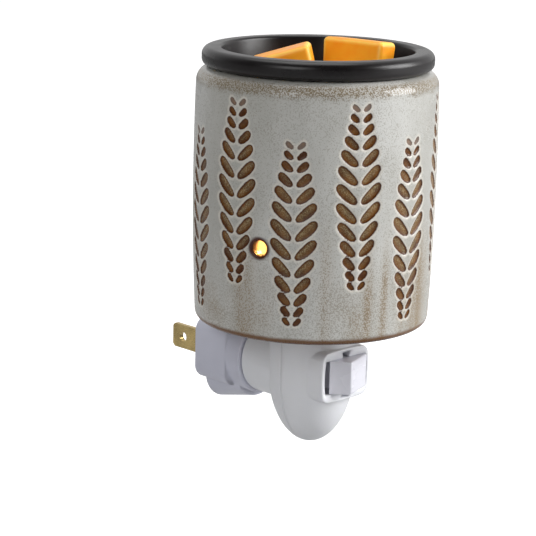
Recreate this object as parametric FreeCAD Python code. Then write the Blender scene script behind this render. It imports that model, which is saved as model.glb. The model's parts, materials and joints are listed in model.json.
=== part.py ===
import FreeCAD, Part

import math
import os

from FreeCAD import Placement, Rotation, Vector

# A plug-in wax melt warmer, in millimetres.
# The origin is the centre of the plug face; +Y is the way the blades point, +Z is up, the front is -Y.

# Clearances
running_gap = 0.08
part_gap = 0.3
slip_gap = 0.05

# Plug
block_half_width = 12.8
block_half_height = 10.2
block_corner = 4.4
block_depth = 14.6
block_edge = 0.7
lobe_radius = 9.4
lobe_drop = 18.0
lobe_setback = 2.0
lobe_reach = 2.2
lobe_rise = 3.4
collar_radius = 12.8
collar_depth = 6.4
collar_edge = 0.8
spindle_radius = 7.0
spindle_length = 9.0
clip_groove_depth = 1.0
clip_thickness = 0.9
clip_radius = 9.3
clip_mouth = 100.0

# Blades: a polarised pair
blade_spacing = 12.7
blade_thickness = 1.5
blade_length = 17.0
line_blade_width = 6.35
neutral_blade_width = 7.94
blade_tip_chamfer = 0.9
blade_hole_radius = 1.6
blade_hole_from_tip = 5.0
tail_width = 2.4
tail_thickness = 1.0
tail_bend = 9.0

# Slip rings on the end of the spindle
ring_thickness = 0.8
inner_ring_bore = 1.2
inner_ring_radius = 2.8
outer_ring_bore = 4.4
outer_ring_radius = 6.2

# Housing: a round body over a half ellipsoid, split across its own axis
lamp_offset = 40.0
seam_offset = 41.1
housing_radius = 13.65
housing_drop = 23.7
housing_wall = 1.8
seam_width = 0.3
seam_depth = 0.35
neck_radius = 11.9
neck_wall = 1.6
neck_end_wall = 2.2
neck_edge = 0.5
neck_bore_end = 36.0
washer_thickness = 2.2
washer_side_gap = 1.0

# Shell screw
screw_height = -16.2
screw_seat = 33.7
screw_length = 14.0
screw_radius = 1.25
screw_head_radius = 2.4
screw_head_thickness = 1.8
screw_slot_width = 0.8
screw_slot_length = 3.0
screw_slot_depth = 1.0
screw_post_radius = 4.0
screw_tip_gap = 0.6

# Switch frame on the front shell
frame_height = 1.2
frame_front = 56.0
frame_half_width = 9.9
frame_half_height = 7.8
frame_bow = 0.55
frame_corner = 3.0
frame_edge = 0.5
opening_half_width = 8.7
opening_half_height = 5.5
opening_bow = 0.5
opening_bow_depth = 1.5
tunnel_depth = 8.5

# Rocker: a tapered block on two trunnions, pressed in at its right end
rocker_tilt = 20.0
rocker_face_half_width = 5.6
rocker_face_height = 9.0
rocker_base_height = 2.5
rocker_base_slope = 0.6
rocker_pivot_depth = 5.5
rocker_edge = 0.8
rocker_web_half_width = 2.6
rocker_web_drop = 2.4
trunnion_radius = 1.4
trunnion_reach = 1.5

# Plunger, its spring and the contact lever under the rocker
plunger_radius = 1.1
plunger_tip = 6.4
plunger_bore_depth = 5.0
plunger_guide = 1.4
spring_wire = 0.25
spring_turns = 4
lever_half_length = 5.4
lever_width = 5.0
lever_thickness = 0.6
lever_edge = 0.25
lever_depth = 12.6
lever_tilt = 7.0
lever_pivot_radius = 0.6

# Switch base and its terminals
base_half_width = 8.2
base_half_height = 5.3
base_front = 47.3
base_depth = 8.0
base_wall = 1.2
base_flange = 1.2
base_flange_thickness = 1.2
terminal_half_width = 1.3
terminal_half_height = 2.0
terminal_reach = 1.6
terminal_relief = 0.25
contact_stud_radius = 1.0
contact_stud_place = 4.6
contact_pin_radius = 0.7

# Contact carrier and wipers behind the slip rings
carrier_front_gap = 3.4
carrier_thickness = 2.0
carrier_half_width = 9.4
carrier_low_half_width = 8.2
carrier_waist = -1.5
carrier_half_height = 7.4
carrier_foot_place = 7.2
carrier_foot_half_width = 0.8
carrier_foot_half_height = 4.0
wiper_thickness = 0.5
wiper_width = 2.0
wiper_foot_place = 6.2
wiper_foot_length = 1.6
wiper_pad_half_length = 0.7

# Lampholder
holder_radius = 8.9
holder_rise = 16.2
holder_bottom = 9.8
holder_bore = 6.7
holder_floor_thickness = 3.0
holder_neck_step = 0.6
holder_tip_step = 0.8
holder_tip_length = 2.0
holder_flange_radius = 9.8
holder_flange_thickness = 1.6
holder_thread_pitch = 2.0
holder_thread_depth = 0.5
thread_crest = 0.3
thread_root = 0.6
shell_thickness = 0.4
shell_lift = 2.0
shell_tab_width = 3.0
contact_tail = 3.0
contact_leaf_radius = 2.6
contact_leaf_thickness = 0.5
contact_leaf_lift = 0.9
contact_stem_half_width = 1.2
contact_stem_thickness = 0.6

# Bulb: a small screw base under a blunt cone of glass
cap_radius = 5.9
cap_length = 14.0
cap_pitch = 2.54
cap_groove = 0.35
cap_sheet = 0.4
cap_shoulder = 1.2
bulb_radius = 11.1
bulb_length = 40.0
bulb_profile_ratios = ((0.55, 0.0), (0.84, 0.2), (1.0, 0.5), (0.84, 0.75), (0.5, 0.93), (0.0, 1.0))
glass_thickness = 0.7
tip_length = 1.8
tip_radius = 2.0
tip_bulge = 0.2
insulator_radius = 3.2
insulator_drop = 1.0
insulator_rise = 0.6
stem_radius = 1.4
stem_flare = 3.4
stem_flare_height = 4.0
stem_length = 12.6
wire_start = 11.0
wire_rise = 9.0
wire_radius = 0.3
wire_root = 0.7
wire_bend = 1.6
filament_half_width = 4.6
filament_sag = 2.2
filament_radius = 0.25

# Shade
shade_bottom = 16.8
shade_height = 78.6
shade_bottom_radius = 36.4
shade_middle_radius = 37.6
shade_top_radius = 37.2
shade_wall = 4.0
shade_foot_edge = 2.0
shade_shoulder = 4.6
shade_mouth_wall = 4.8
shade_mouth_land = 2.0
shade_mouth_flare = 4.0
shade_foot_height = 1.5
shade_foot_radius = 30.2
shade_foot_bevel = 0.8
shade_floor_thickness = 4.0
shade_floor_round = 3.0
light_hole_radius = 2.3
light_hole_edge = 0.6
light_hole_height = 28.8
light_hole_azimuth = -70.5
gasket_radius = 11.6
gasket_thickness = 1.1
nut_radius = 14.5
nut_thickness = 5.5
nut_flange_thickness = 1.5
nut_notch = 1.2
nut_notch_count = 10

# Dish: soft, with a thick rolled rim
rim_set_in = 1.6
rim_height = 5.6
rim_round = 2.4
rim_under_round = 1.9
rim_wall = 2.8
rim_inner_round = 1.0
dish_depth = 18.9
dish_taper = 2.6
dish_under_taper = 3.4
dish_corner = 4.0
dish_floor_thickness = 2.2

# Wax melts: width, depth and height, then the place of the middle, as shares of the dish's inner radius
melt_edge = 1.8
melt_draft = 0.9
left_melt_size_ratios = (0.6588, 0.4392, 0.5202)
left_melt_place_ratios = (-0.25, 0.2196, 0.3514)
left_melt_turn = -48.0
left_melt_lean = -17.0
right_melt_size_ratios = (0.7568, 0.304, 0.6756)
right_melt_place_ratios = (0.5101, -0.0709, 0.3582)
right_melt_turn = -80.0
right_melt_lean = -6.0

# Insulated leads
lead_radius = 0.8
lead_drop = 8.6
lead_touch = 0.1

# Worked out from the values above
lamp_y = -lamp_offset
seam_y = -seam_offset
collar_front = -(block_depth + collar_depth)
spindle_front = collar_front - spindle_length
neck_back = collar_front - part_gap
neck_end_front = neck_back - neck_end_wall
clip_back = neck_end_front - part_gap - washer_thickness - slip_gap
ring_front = spindle_front - ring_thickness
inner_ring_middle = (inner_ring_bore + inner_ring_radius) / 2
outer_ring_middle = (outer_ring_bore + outer_ring_radius) / 2
frame_y = -frame_front
pivot_y = frame_y + rocker_pivot_depth
rocker_half_height = opening_half_height - part_gap
lever_y = frame_y + lever_depth
base_rear = -base_front + base_depth
terminal_rear = base_rear + terminal_reach
carrier_back = ring_front - carrier_front_gap
carrier_front = carrier_back - carrier_thickness
shade_floor = shade_bottom + shade_foot_height
shade_floor_top = shade_floor + shade_floor_thickness
shade_top = shade_bottom + shade_height
shade_mouth_radius = shade_top_radius - shade_mouth_wall
rim_radius = shade_top_radius - rim_set_in
rim_inner_radius = shade_mouth_radius - rim_wall
housing_top = shade_floor - gasket_thickness
holder_top = shade_floor_top + holder_rise
cap_top = holder_top - 0.5
cap_bottom = cap_top - cap_length
bulb_tip = cap_bottom - tip_length
contact_top = bulb_tip - part_gap
holder_floor_top = contact_top - contact_leaf_thickness - contact_leaf_lift
holder_floor = holder_floor_top - holder_floor_thickness
contact_foot = holder_floor - contact_tail
socket_inner = cap_radius + part_gap
dish_seat = shade_top + part_gap
rim_top = dish_seat + rim_height
dish_floor = rim_top - dish_depth
dish_under = dish_floor - dish_floor_thickness
far = 200.0


def box(x0, x1, y0, y1, z0, z1):
    return Part.makeBox(x1 - x0, y1 - y0, z1 - z0, Vector(x0, y0, z0))


def rod_y(radius, back, front, x=0.0, z=0.0):
    """Cylinder along Y from its back face to its front face."""
    return Part.makeCylinder(radius, back - front, Vector(x, front, z), Vector(0, 1, 0))


def rod_z(radius, low, high, x=0.0, y=lamp_y):
    return Part.makeCylinder(radius, high - low, Vector(x, y, low))


def outline(*steps):
    """Closed wire in the XZ plane: a step is a point, or a (middle, end) pair of points for an arc."""
    here = steps[0]
    edges = []
    for step in steps[1:] + (steps[0],):
        if isinstance(step[0], tuple):
            middle, end = step
            points = [Vector(p[0], 0, p[1]) for p in (here, middle, end)]
            edges.append(Part.Arc(*points).toShape())
        else:
            end = step
            if math.dist(here, end) > 1e-6:
                points = [Vector(p[0], 0, p[1]) for p in (here, end)]
                edges.append(Part.LineSegment(*points).toShape())
        here = end
    return Part.Wire(edges)


def turned(*steps):
    """Solid of revolution about the lamp axis from radius and height pairs."""
    solid = Part.Face(outline(*steps)).revolve(Vector(0, 0, 0), Vector(0, 0, 1), 360)
    solid.translate(Vector(0, lamp_y, 0))
    return solid


def round_corner(centre, radius, start, end):
    """Middle and end points of an arc about a centre, by angles in degrees."""
    middle = math.radians((start + end) / 2)
    last = math.radians(end)
    return ((centre[0] + radius * math.cos(middle), centre[1] + radius * math.sin(middle)),
            (centre[0] + radius * math.cos(last), centre[1] + radius * math.sin(last)))


def edges_along(shape, direction, at=None):
    """Straight edges parallel to a direction, kept where at(middle point) is true."""
    found = []
    for edge in shape.Edges:
        if not isinstance(edge.Curve, Part.Line):
            continue
        if abs(abs(edge.Curve.Direction.dot(direction)) - 1) > 1e-6:
            continue
        middle = edge.CenterOfMass
        if at is None or at(middle):
            found.append(edge)
    return found


def edges_on(shape, test):
    """Edges whose end points and middle all pass a test."""
    found = []
    for edge in shape.Edges:
        points = [v.Point for v in edge.Vertexes] + [edge.CenterOfMass]
        if all(test(p) for p in points):
            found.append(edge)
    return found


def save(shape, node):
    if isinstance(shape, (list, tuple)):
        shape = Part.makeCompound(shape)
    shape.exportStep("parts/" + node + ".step")


# Plug: a block with a rounded lobe under it, a collar and a spindle
def plug_blank():
    block = box(-block_half_width, block_half_width, -block_depth, 0, -block_half_height, block_half_height)
    block = block.makeFillet(block_corner, edges_along(block, Vector(0, 1, 0)))
    block = block.makeFillet(block_edge, edges_on(block, lambda p: abs(p.y) < 0.01))
    lobe_centre = lobe_radius - lobe_drop
    lobe = Part.Face(outline((-lobe_radius, lobe_centre), ((0, -lobe_drop), (lobe_radius, lobe_centre)),
                             (lobe_radius, 0), (-lobe_radius, 0)))
    lobe = lobe.extrude(Vector(0, lobe_setback - block_depth - lobe_reach, lobe_rise))
    lobe.translate(Vector(0, -lobe_setback, 0))
    collar = rod_y(collar_radius, -block_depth, collar_front)
    collar = collar.makeFillet(collar_edge, [e for e in collar.Edges if e.Length > collar_radius
                                             and abs(e.CenterOfMass.y - collar_front) < 0.01])
    spindle = rod_y(spindle_radius, collar_front, spindle_front)
    groove = rod_y(far / 4, clip_back, clip_back - clip_thickness - 2 * slip_gap)
    groove = groove.cut(rod_y(spindle_radius - clip_groove_depth, 0, -far / 2))
    return block.fuse([lobe, collar, spindle]).cut(groove).removeSplitter()


def blade(side, width, tail_radius):
    """One blade at a side of the plug, with its tail running through the spindle to a slip ring."""
    x = side * blade_spacing / 2
    half = blade_thickness / 2
    tongue = box(x - half, x + half, -tail_bend, blade_length, -width / 2, width / 2)
    tongue = tongue.makeChamfer(blade_tip_chamfer, edges_along(
        tongue, Vector(1, 0, 0), lambda p: p.y > blade_length - 0.01))
    hole = Part.makeCylinder(blade_hole_radius, far, Vector(-far / 2, blade_length - blade_hole_from_tip, 0),
                             Vector(1, 0, 0))
    tail_x = side * tail_radius
    inner, outer = sorted((x, tail_x))
    bridge = box(inner - tail_thickness / 2, outer + tail_thickness / 2, -tail_bend - tail_thickness,
                 -tail_bend, -tail_width / 2, tail_width / 2)
    tail = box(tail_x - tail_thickness / 2, tail_x + tail_thickness / 2, spindle_front, -tail_bend,
               -tail_width / 2, tail_width / 2)
    return tongue.cut(hole).fuse([bridge, tail]).removeSplitter()


def slip_ring(bore, radius):
    return rod_y(radius, spindle_front, ring_front).cut(rod_y(bore, spindle_front, ring_front))


def swivel_clip():
    """Open spring clip in the groove of the spindle, with a mouth wide enough to push on."""
    front = clip_back - slip_gap - clip_thickness
    back = clip_back - slip_gap
    clip = rod_y(clip_radius, back, front).cut(
        rod_y(spindle_radius - clip_groove_depth + slip_gap, back, front))
    reach = clip_radius + 1
    spread = reach * math.tan(math.radians(clip_mouth / 2))
    mouth = Part.Face(outline((0, 0), (-spread, -reach), (spread, -reach)))
    mouth = mouth.extrude(Vector(0, far / 2, 0))
    mouth.translate(Vector(0, -far / 2, 0))
    return clip.cut(mouth)


def swivel_washer():
    back = neck_end_front - part_gap / 2
    front = back - washer_thickness
    return rod_y(neck_radius - neck_wall - washer_side_gap, back, front).cut(
        rod_y(spindle_radius + running_gap, back, front))


# Housing: two shells that meet on the lamp axis
def egg_curve(radius, drop, start):
    """Lower half of an ellipse in the XZ plane, from a start angle to its right end."""
    ellipse = Part.Ellipse(Vector(0, 0, -drop), Vector(radius, 0, 0), Vector(0, 0, 0))
    return Part.ArcOfEllipse(ellipse, start, math.pi / 2).toShape()


def closed_face(curve, corners):
    sides = [Part.LineSegment(a, b).toShape() for a, b in zip(corners, corners[1:])]
    return Part.Face(Part.Wire(Part.__sortEdges__([curve] + sides)))


def housing_half(inset, turn):
    """Half of the housing on one side of its seam, drawn in all round by an inset."""
    radius = housing_radius - inset
    drop = housing_drop - inset
    top = housing_top - inset
    face = closed_face(egg_curve(radius, drop, 0), [
        Vector(radius, 0, 0), Vector(radius, 0, top), Vector(0, 0, top), Vector(0, 0, -drop)])
    half = face.revolve(Vector(0, 0, 0), Vector(0, 0, 1), turn)
    half.translate(Vector(0, seam_y, 0))
    return half


def housing_section(outset):
    """Section of the housing in its seam plane, drawn out all round by an outset."""
    radius = housing_radius + outset
    top = housing_top + outset
    return closed_face(egg_curve(radius, housing_drop + outset, -math.pi / 2), [
        Vector(radius, 0, 0), Vector(radius, 0, top), Vector(-radius, 0, top), Vector(-radius, 0, 0)])


def seam_cut():
    """Thin groove round the housing where the two shells meet."""
    ring = housing_section(1).cut(housing_section(-seam_depth)).extrude(Vector(0, seam_width, 0))
    ring.translate(Vector(0, seam_y - seam_width / 2, 0))
    return ring


def bowed_prism(half_width, half_height, bow, back, front):
    """Rectangle with slightly bowed sides, run along Y between two depths."""
    wire = outline((-half_width, -half_height), ((0, -half_height - bow), (half_width, -half_height)),
                   ((half_width + bow, 0), (half_width, half_height)),
                   ((0, half_height + bow), (-half_width, half_height)),
                   ((-half_width - bow, 0), (-half_width, -half_height)))
    solid = Part.Face(wire).extrude(Vector(0, back - front, 0))
    solid.translate(Vector(0, front, frame_height))
    return solid


def switch_frame():
    """Rounded frame round the rocker, standing out of the front shell."""
    back = frame_y + tunnel_depth
    frame = bowed_prism(frame_half_width, frame_half_height, frame_bow, back, frame_y)
    frame = frame.makeFillet(frame_corner, edges_along(frame, Vector(0, 1, 0)))
    return frame.makeFillet(frame_edge, edges_on(frame, lambda p: abs(p.y - frame_y) < 0.01))


def rocker_way():
    """Opening for the rocker and the two grooves that its trunnions slide in by."""
    back = frame_y + tunnel_depth + 1
    way = box(-opening_half_width, opening_half_width, frame_y - 1, back,
              frame_height - opening_half_height, frame_height + opening_half_height)
    bow = bowed_prism(opening_half_width, opening_half_height, opening_bow,
                      frame_y + opening_bow_depth, frame_y - 1)
    bow = bow.common(box(-far, far, -far, far, frame_height - opening_half_height,
                         frame_height + opening_half_height))
    reach = opening_half_height + trunnion_reach + part_gap
    radius = trunnion_radius + running_gap
    groove = box(-radius, radius, frame_y - 1, pivot_y, frame_height - reach, frame_height + reach)
    seat = rod_z(radius, frame_height - reach, frame_height + reach, 0, pivot_y)
    return way.fuse([bow, groove, seat])


def holder_way():
    return rod_z(holder_radius + slip_gap, housing_top - housing_wall - 1, housing_top + 1)


def front_shell():
    outer = housing_half(0, -180)
    post = rod_y(screw_post_radius, seam_y, seam_y - housing_radius, 0, screw_height).common(outer)
    pilot = rod_y(screw_radius + slip_gap, seam_y, -screw_seat - screw_length - screw_tip_gap, 0,
                  screw_height)
    shell = outer.cut(housing_half(housing_wall, -180)).cut(seam_cut()).cut(holder_way())
    return shell.fuse([switch_frame(), post]).cut(rocker_way()).cut(pilot)


def rear_shell():
    outer = housing_half(0, 180)
    neck = rod_y(neck_radius, neck_back, seam_y + housing_wall)
    neck = neck.makeFillet(neck_edge, [e for e in neck.Edges if e.Length > neck_radius
                                       and abs(e.CenterOfMass.y - neck_back) < 0.01])
    bore = rod_y(neck_radius - neck_wall, neck_end_front, -neck_bore_end)
    hole = rod_y(spindle_radius + running_gap, neck_back + 1, neck_end_front - 1)
    post = rod_y(screw_post_radius, 0, seam_y, 0, screw_height).common(outer)
    recess = rod_y(screw_head_radius + part_gap, 0, -screw_seat, 0, screw_height)
    way = rod_y(screw_radius + part_gap, 0, seam_y, 0, screw_height)
    shell = outer.fuse(neck).cut(housing_half(housing_wall, 180)).cut([bore, hole]).fuse(post)
    return shell.cut([recess, way, seam_cut(), holder_way()])


def shell_screw():
    back = screw_head_thickness - screw_seat
    head = rod_y(screw_head_radius, back, -screw_seat, 0, screw_height)
    long, wide = screw_slot_length / 2, screw_slot_width / 2
    slots = [box(-x, x, back - screw_slot_depth, back + 1, screw_height - z, screw_height + z)
             for x, z in ((wide, long), (long, wide))]
    shank = rod_y(screw_radius, -screw_seat, -screw_seat - screw_length, 0, screw_height)
    return head.cut(slots).fuse(shank)


# Switch: rocker, plunger, lever and base
def on_pivot(shape, tilt):
    """Turn a shape made about the origin by a tilt and set it on the rocker's pivot."""
    shape.rotate(Vector(0, 0, 0), Vector(0, 0, 1), tilt)
    shape.translate(Vector(0, pivot_y, frame_height))
    return shape


def rocker():
    slope = math.tan(math.radians(rocker_tilt))
    base_half = rocker_face_half_width + slope * (rocker_face_height - rocker_base_height)
    web = rocker_web_half_width
    points = [(-rocker_face_half_width, -rocker_face_height), (rocker_face_half_width, -rocker_face_height),
              (base_half, -rocker_base_height), (web, rocker_base_slope - rocker_base_height),
              (web, rocker_web_drop), (-web, rocker_web_drop),
              (-web, rocker_base_slope - rocker_base_height), (-base_half, -rocker_base_height)]
    wire = Part.makePolygon([Vector(x, y, -rocker_half_height) for x, y in points + points[:1]])
    body = Part.Face(wire).extrude(Vector(0, 0, 2 * rocker_half_height))
    face_edges = edges_on(body, lambda p: p.y < -rocker_face_height + 0.01)
    side_edges = [e for e in edges_on(body, lambda p: p.y < -rocker_base_height and abs(p.x) > web)
                  if e not in face_edges]
    body = body.makeFillet(rocker_edge, face_edges + side_edges)
    pin_reach = rocker_half_height + part_gap + trunnion_reach
    pins = Part.makeCylinder(trunnion_radius, 2 * pin_reach, Vector(0, 0, -pin_reach))
    bore = rod_y(plunger_radius + slip_gap, far, rocker_web_drop - plunger_bore_depth)
    return on_pivot(body.fuse(pins).cut(bore).removeSplitter(), rocker_tilt)


def plunger():
    low = rocker_web_drop - plunger_guide
    stem = rod_y(plunger_radius, plunger_tip - plunger_radius, low)
    nose = Part.makeSphere(plunger_radius, Vector(0, plunger_tip - plunger_radius, 0))
    return on_pivot(stem.fuse(nose).removeSplitter(), rocker_tilt)


def plunger_spring():
    start = rocker_web_drop - plunger_bore_depth + spring_wire
    length = rocker_web_drop - plunger_guide - spring_wire - start
    radius = plunger_radius - spring_wire - slip_gap
    coil = Part.makeHelix(length / spring_turns, length, radius)
    section = Part.Wire(Part.makeCircle(spring_wire, Vector(radius, 0, 0), Vector(0, 1, 0)))
    coil = Part.Wire(coil).makePipeShell([section], True, True)
    coil.rotate(Vector(0, 0, 0), Vector(1, 0, 0), -90)
    coil.translate(Vector(0, start, 0))
    return on_pivot(coil, rocker_tilt)


def contact_lever():
    """See-saw contact: a flat strip on a round fulcrum, tipped to its left stud."""
    strip = box(-lever_half_length, lever_half_length, -lever_thickness, 0, -lever_width / 2, lever_width / 2)
    strip = strip.makeFillet(lever_edge, edges_along(strip, Vector(0, 0, 1)))
    roll = Part.makeCylinder(lever_pivot_radius, lever_width, Vector(0, 0, -lever_width / 2))
    lever = strip.fuse(roll).removeSplitter()
    lever.rotate(Vector(0, 0, 0), Vector(0, 0, 1), -lever_tilt)
    lever.translate(Vector(0, lever_y, frame_height))
    return lever


def switch_base():
    low = frame_height - base_half_height
    high = frame_height + base_half_height
    case = box(-base_half_width, base_half_width, -base_front, base_rear, low, high)
    flange = box(-base_half_width - base_flange, base_half_width + base_flange, -base_front,
                 -base_front + base_flange_thickness, low - base_flange, high + base_flange)
    cavity = box(-base_half_width + base_wall, base_half_width - base_wall, -far, base_rear - base_wall,
                 low + base_wall, high - base_wall)
    case = case.fuse(flange).cut(cavity)
    return case.cut([line_terminal(), lamp_terminal()]).removeSplitter()


def line_terminal():
    """Centre post with a cradle for the lever's fulcrum, and a tab behind the base."""
    post = box(-terminal_half_width, terminal_half_width, lever_y + terminal_relief, terminal_rear,
               frame_height - terminal_half_height, frame_height + terminal_half_height)
    return post.cut(rod_z(lever_pivot_radius + running_gap, -far, far, 0, lever_y))


def lamp_terminal():
    """Contact stud at the left, which the lever meets when the switch is on."""
    x = -contact_stud_place
    drop = contact_stud_place * math.sin(math.radians(lever_tilt))
    stud = rod_y(contact_stud_radius, base_rear - base_wall, lever_y + drop + part_gap, x, frame_height)
    pin = rod_y(contact_pin_radius, terminal_rear, base_rear - base_wall, x, frame_height)
    return stud.fuse(pin).removeSplitter()


# Contacts between the swivel and the housing
def contact_carrier():
    high, low = carrier_half_height, -carrier_half_height
    plate = Part.Face(outline((-carrier_low_half_width, low), (carrier_low_half_width, low),
                              (carrier_half_width, carrier_waist), (carrier_half_width, high),
                              (-carrier_half_width, high), (-carrier_half_width, carrier_waist)))
    plate = plate.extrude(Vector(0, carrier_thickness, 0))
    plate.translate(Vector(0, carrier_front, 0))
    feet = [box(side * carrier_foot_place - carrier_foot_half_width,
                side * carrier_foot_place + carrier_foot_half_width, base_rear, carrier_front,
                frame_height - carrier_foot_half_height, frame_height + carrier_foot_half_height)
            for side in (-1, 1)]
    return plate.fuse(feet).removeSplitter()


def wiper(x, pad_z, direction):
    """Bent leaf: a foot on the carrier, a slanting arm, and a pad just off its slip ring."""
    pad_y = ring_front - part_gap
    thick = wiper_thickness
    foot_z = direction * wiper_foot_place
    foot_end = foot_z + direction * wiper_foot_length / 2
    foot_start = foot_z - direction * wiper_foot_length / 2
    pad_near = pad_z + direction * wiper_pad_half_length
    pad_end = pad_z - direction * wiper_pad_half_length
    points = [(carrier_back, foot_end), (carrier_back, foot_start), (pad_y - thick, pad_near),
              (pad_y - thick, pad_end), (pad_y, pad_end), (pad_y, pad_near + direction * thick / 2),
              (carrier_back + thick, foot_start + direction * thick / 2), (carrier_back + thick, foot_end)]
    wire = Part.makePolygon([Vector(x - wiper_width / 2, y, z) for y, z in points + points[:1]])
    return Part.Face(wire).extrude(Vector(wiper_width, 0, 0))


# Lampholder, its contacts and its ring nut
def thread_steps(radius, depth, pitch, low, high):
    """Outline points of a run of ring-shaped threads from a low to a high level."""
    count = int((high - low) / pitch)
    steps = []
    for turn in range(count):
        base = low + turn * pitch
        steps += [(radius, base), (radius, base + thread_crest * pitch),
                  (radius - depth, base + thread_root * pitch)]
    return steps + [(radius, low + count * pitch)]


def lampholder():
    under_wall = housing_top - housing_wall
    flange_low = under_wall - holder_flange_thickness
    low_radius = holder_radius - holder_neck_step
    steps = [(holder_bore, holder_bottom), (low_radius, holder_bottom), (low_radius, flange_low),
             (holder_flange_radius, flange_low), (holder_flange_radius, under_wall),
             (holder_radius, under_wall)]
    steps += thread_steps(holder_radius, holder_thread_depth, holder_thread_pitch, shade_floor_top,
                          holder_top - holder_tip_length)
    steps += [(holder_radius - holder_tip_step, holder_top), (holder_bore, holder_top)]
    holder = turned(*steps)
    floor = rod_z(holder_bore, holder_floor, holder_floor_top)
    return holder.fuse(floor).cut([socket_shell(), centre_contact()]).removeSplitter()


def socket_shell():
    """Sleeve round the bulb's cap, with a tab down through the holder's floor."""
    low = holder_floor_top + shell_lift
    outer = socket_inner + shell_thickness
    sleeve = rod_z(outer, low, cap_top).cut(rod_z(socket_inner, low, cap_top))
    tab = box(socket_inner - part_gap, outer, lamp_y - shell_tab_width / 2, lamp_y + shell_tab_width / 2,
              contact_foot, low + 1)
    return sleeve.fuse(tab.common(rod_z(outer, 0, far))).removeSplitter()


def centre_contact():
    leaf = rod_z(contact_leaf_radius, contact_top - contact_leaf_thickness, contact_top)
    stem = box(-contact_stem_half_width, contact_stem_half_width, lamp_y - contact_stem_thickness / 2,
               lamp_y + contact_stem_thickness / 2, contact_foot, contact_top)
    return leaf.fuse(stem).removeSplitter()


def shade_nut():
    high = shade_floor_top + nut_thickness
    bore = rod_z(holder_radius + slip_gap, shade_floor_top, high)
    ring = rod_z(nut_radius, shade_floor_top, high).cut(bore)
    notches = []
    for step in range(nut_notch_count):
        angle = 2 * math.pi * step / nut_notch_count
        notches.append(rod_z(nut_notch, shade_floor_top + nut_flange_thickness, high + 1,
                             nut_radius * math.cos(angle), lamp_y + nut_radius * math.sin(angle)))
    return ring.cut(notches)


def shade_gasket():
    return rod_z(gasket_radius, housing_top, shade_floor).cut(
        rod_z(holder_radius + slip_gap, housing_top, shade_floor))


# Bulb
def bulb_glass():
    def side(inset):
        points = [Vector((bulb_radius - inset) * r, 0, cap_top + (bulb_length - inset) * z)
                  for r, z in bulb_profile_ratios]
        curve = Part.BSplineCurve()
        curve.interpolate(Points=points, InitialTangent=Vector(0.3, 0, 1), FinalTangent=Vector(-1, 0, 0))
        return curve.toShape(), points

    outer, outer_points = side(0)
    inner, inner_points = side(glass_thickness)
    foot = Part.LineSegment(outer_points[0], inner_points[0]).toShape()
    crown = Part.LineSegment(outer_points[-1], inner_points[-1]).toShape()
    glass = Part.Face(Part.Wire(Part.__sortEdges__([outer, crown, inner, foot])))
    glass = glass.revolve(Vector(0, 0, 0), Vector(0, 0, 1), 360)
    glass.translate(Vector(0, lamp_y, 0))
    return glass


def bulb_cap():
    low = cap_bottom - insulator_drop / 2
    high = cap_bottom + insulator_rise
    steps = [(insulator_radius, low), (cap_radius - cap_shoulder, cap_bottom)]
    steps += thread_steps(cap_radius, cap_groove, cap_pitch, cap_bottom + cap_shoulder, cap_top)
    steps += [(cap_radius - cap_sheet, cap_top),
              (cap_radius - cap_groove - cap_sheet, cap_bottom + cap_shoulder), (insulator_radius, high)]
    return turned(*steps)


def bulb_insulator():
    low = cap_bottom - insulator_drop
    high = cap_bottom + insulator_rise
    return turned((0, low), (tip_radius, low), (insulator_radius, low + insulator_drop / 2),
                  (insulator_radius, high), (0, high))


def bulb_tip_contact():
    low = cap_bottom - insulator_drop
    return turned((0, bulb_tip), ((tip_radius * 0.7, bulb_tip + tip_bulge), (tip_radius, low)), (0, low))


def bulb_stem():
    low = cap_bottom + insulator_rise
    return turned((0, low), (stem_radius, low), (stem_radius, cap_top), (stem_flare, cap_top + tip_bulge),
                  (stem_radius, cap_top + stem_flare_height), (stem_radius, cap_top + stem_length),
                  (0, cap_top + stem_length))


def path_tube(points, radius):
    """Round tube along straight runs joined by tangent arcs."""
    points = [Vector(*p) for p in points]
    edges = []
    here = points[0]
    for before, corner, after in zip(points, points[1:], points[2:]):
        back = (before - corner).normalize()
        onward = (after - corner).normalize()
        turn = math.pi - back.getAngle(onward)
        if turn < 0.02:
            continue
        room = 0.45 * min(before.distanceToPoint(corner), corner.distanceToPoint(after))
        bend = room / math.tan(turn / 2)
        inward = (back + onward).normalize()
        middle = corner + inward * (bend / math.cos(turn / 2) - bend)
        start = corner + back * room
        end = corner + onward * room
        edges.append(Part.LineSegment(here, start).toShape())
        edges.append(Part.Arc(start, middle, end).toShape())
        here = end
    edges.append(Part.LineSegment(here, points[-1]).toShape())
    path = Part.Wire(edges)
    direction = points[1] - points[0]
    section = Part.Wire(Part.makeCircle(radius, points[0], direction))
    return path.makePipeShell([section], True, False)


def filament_leads():
    low = cap_top + wire_start
    return [path_tube([(side * wire_root, lamp_y, low), (side * wire_bend, lamp_y, low + wire_rise / 2),
                       (side * filament_half_width, lamp_y, low + wire_rise)], wire_radius)
            for side in (-1, 1)]


def filament():
    low = cap_top + wire_start + wire_rise
    half = filament_half_width
    points = [(-half, lamp_y, low), (-half / 2, lamp_y, low + filament_sag), (0, lamp_y, low),
              (half / 2, lamp_y, low + filament_sag), (half, lamp_y, low)]
    return path_tube(points, filament_radius)


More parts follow.
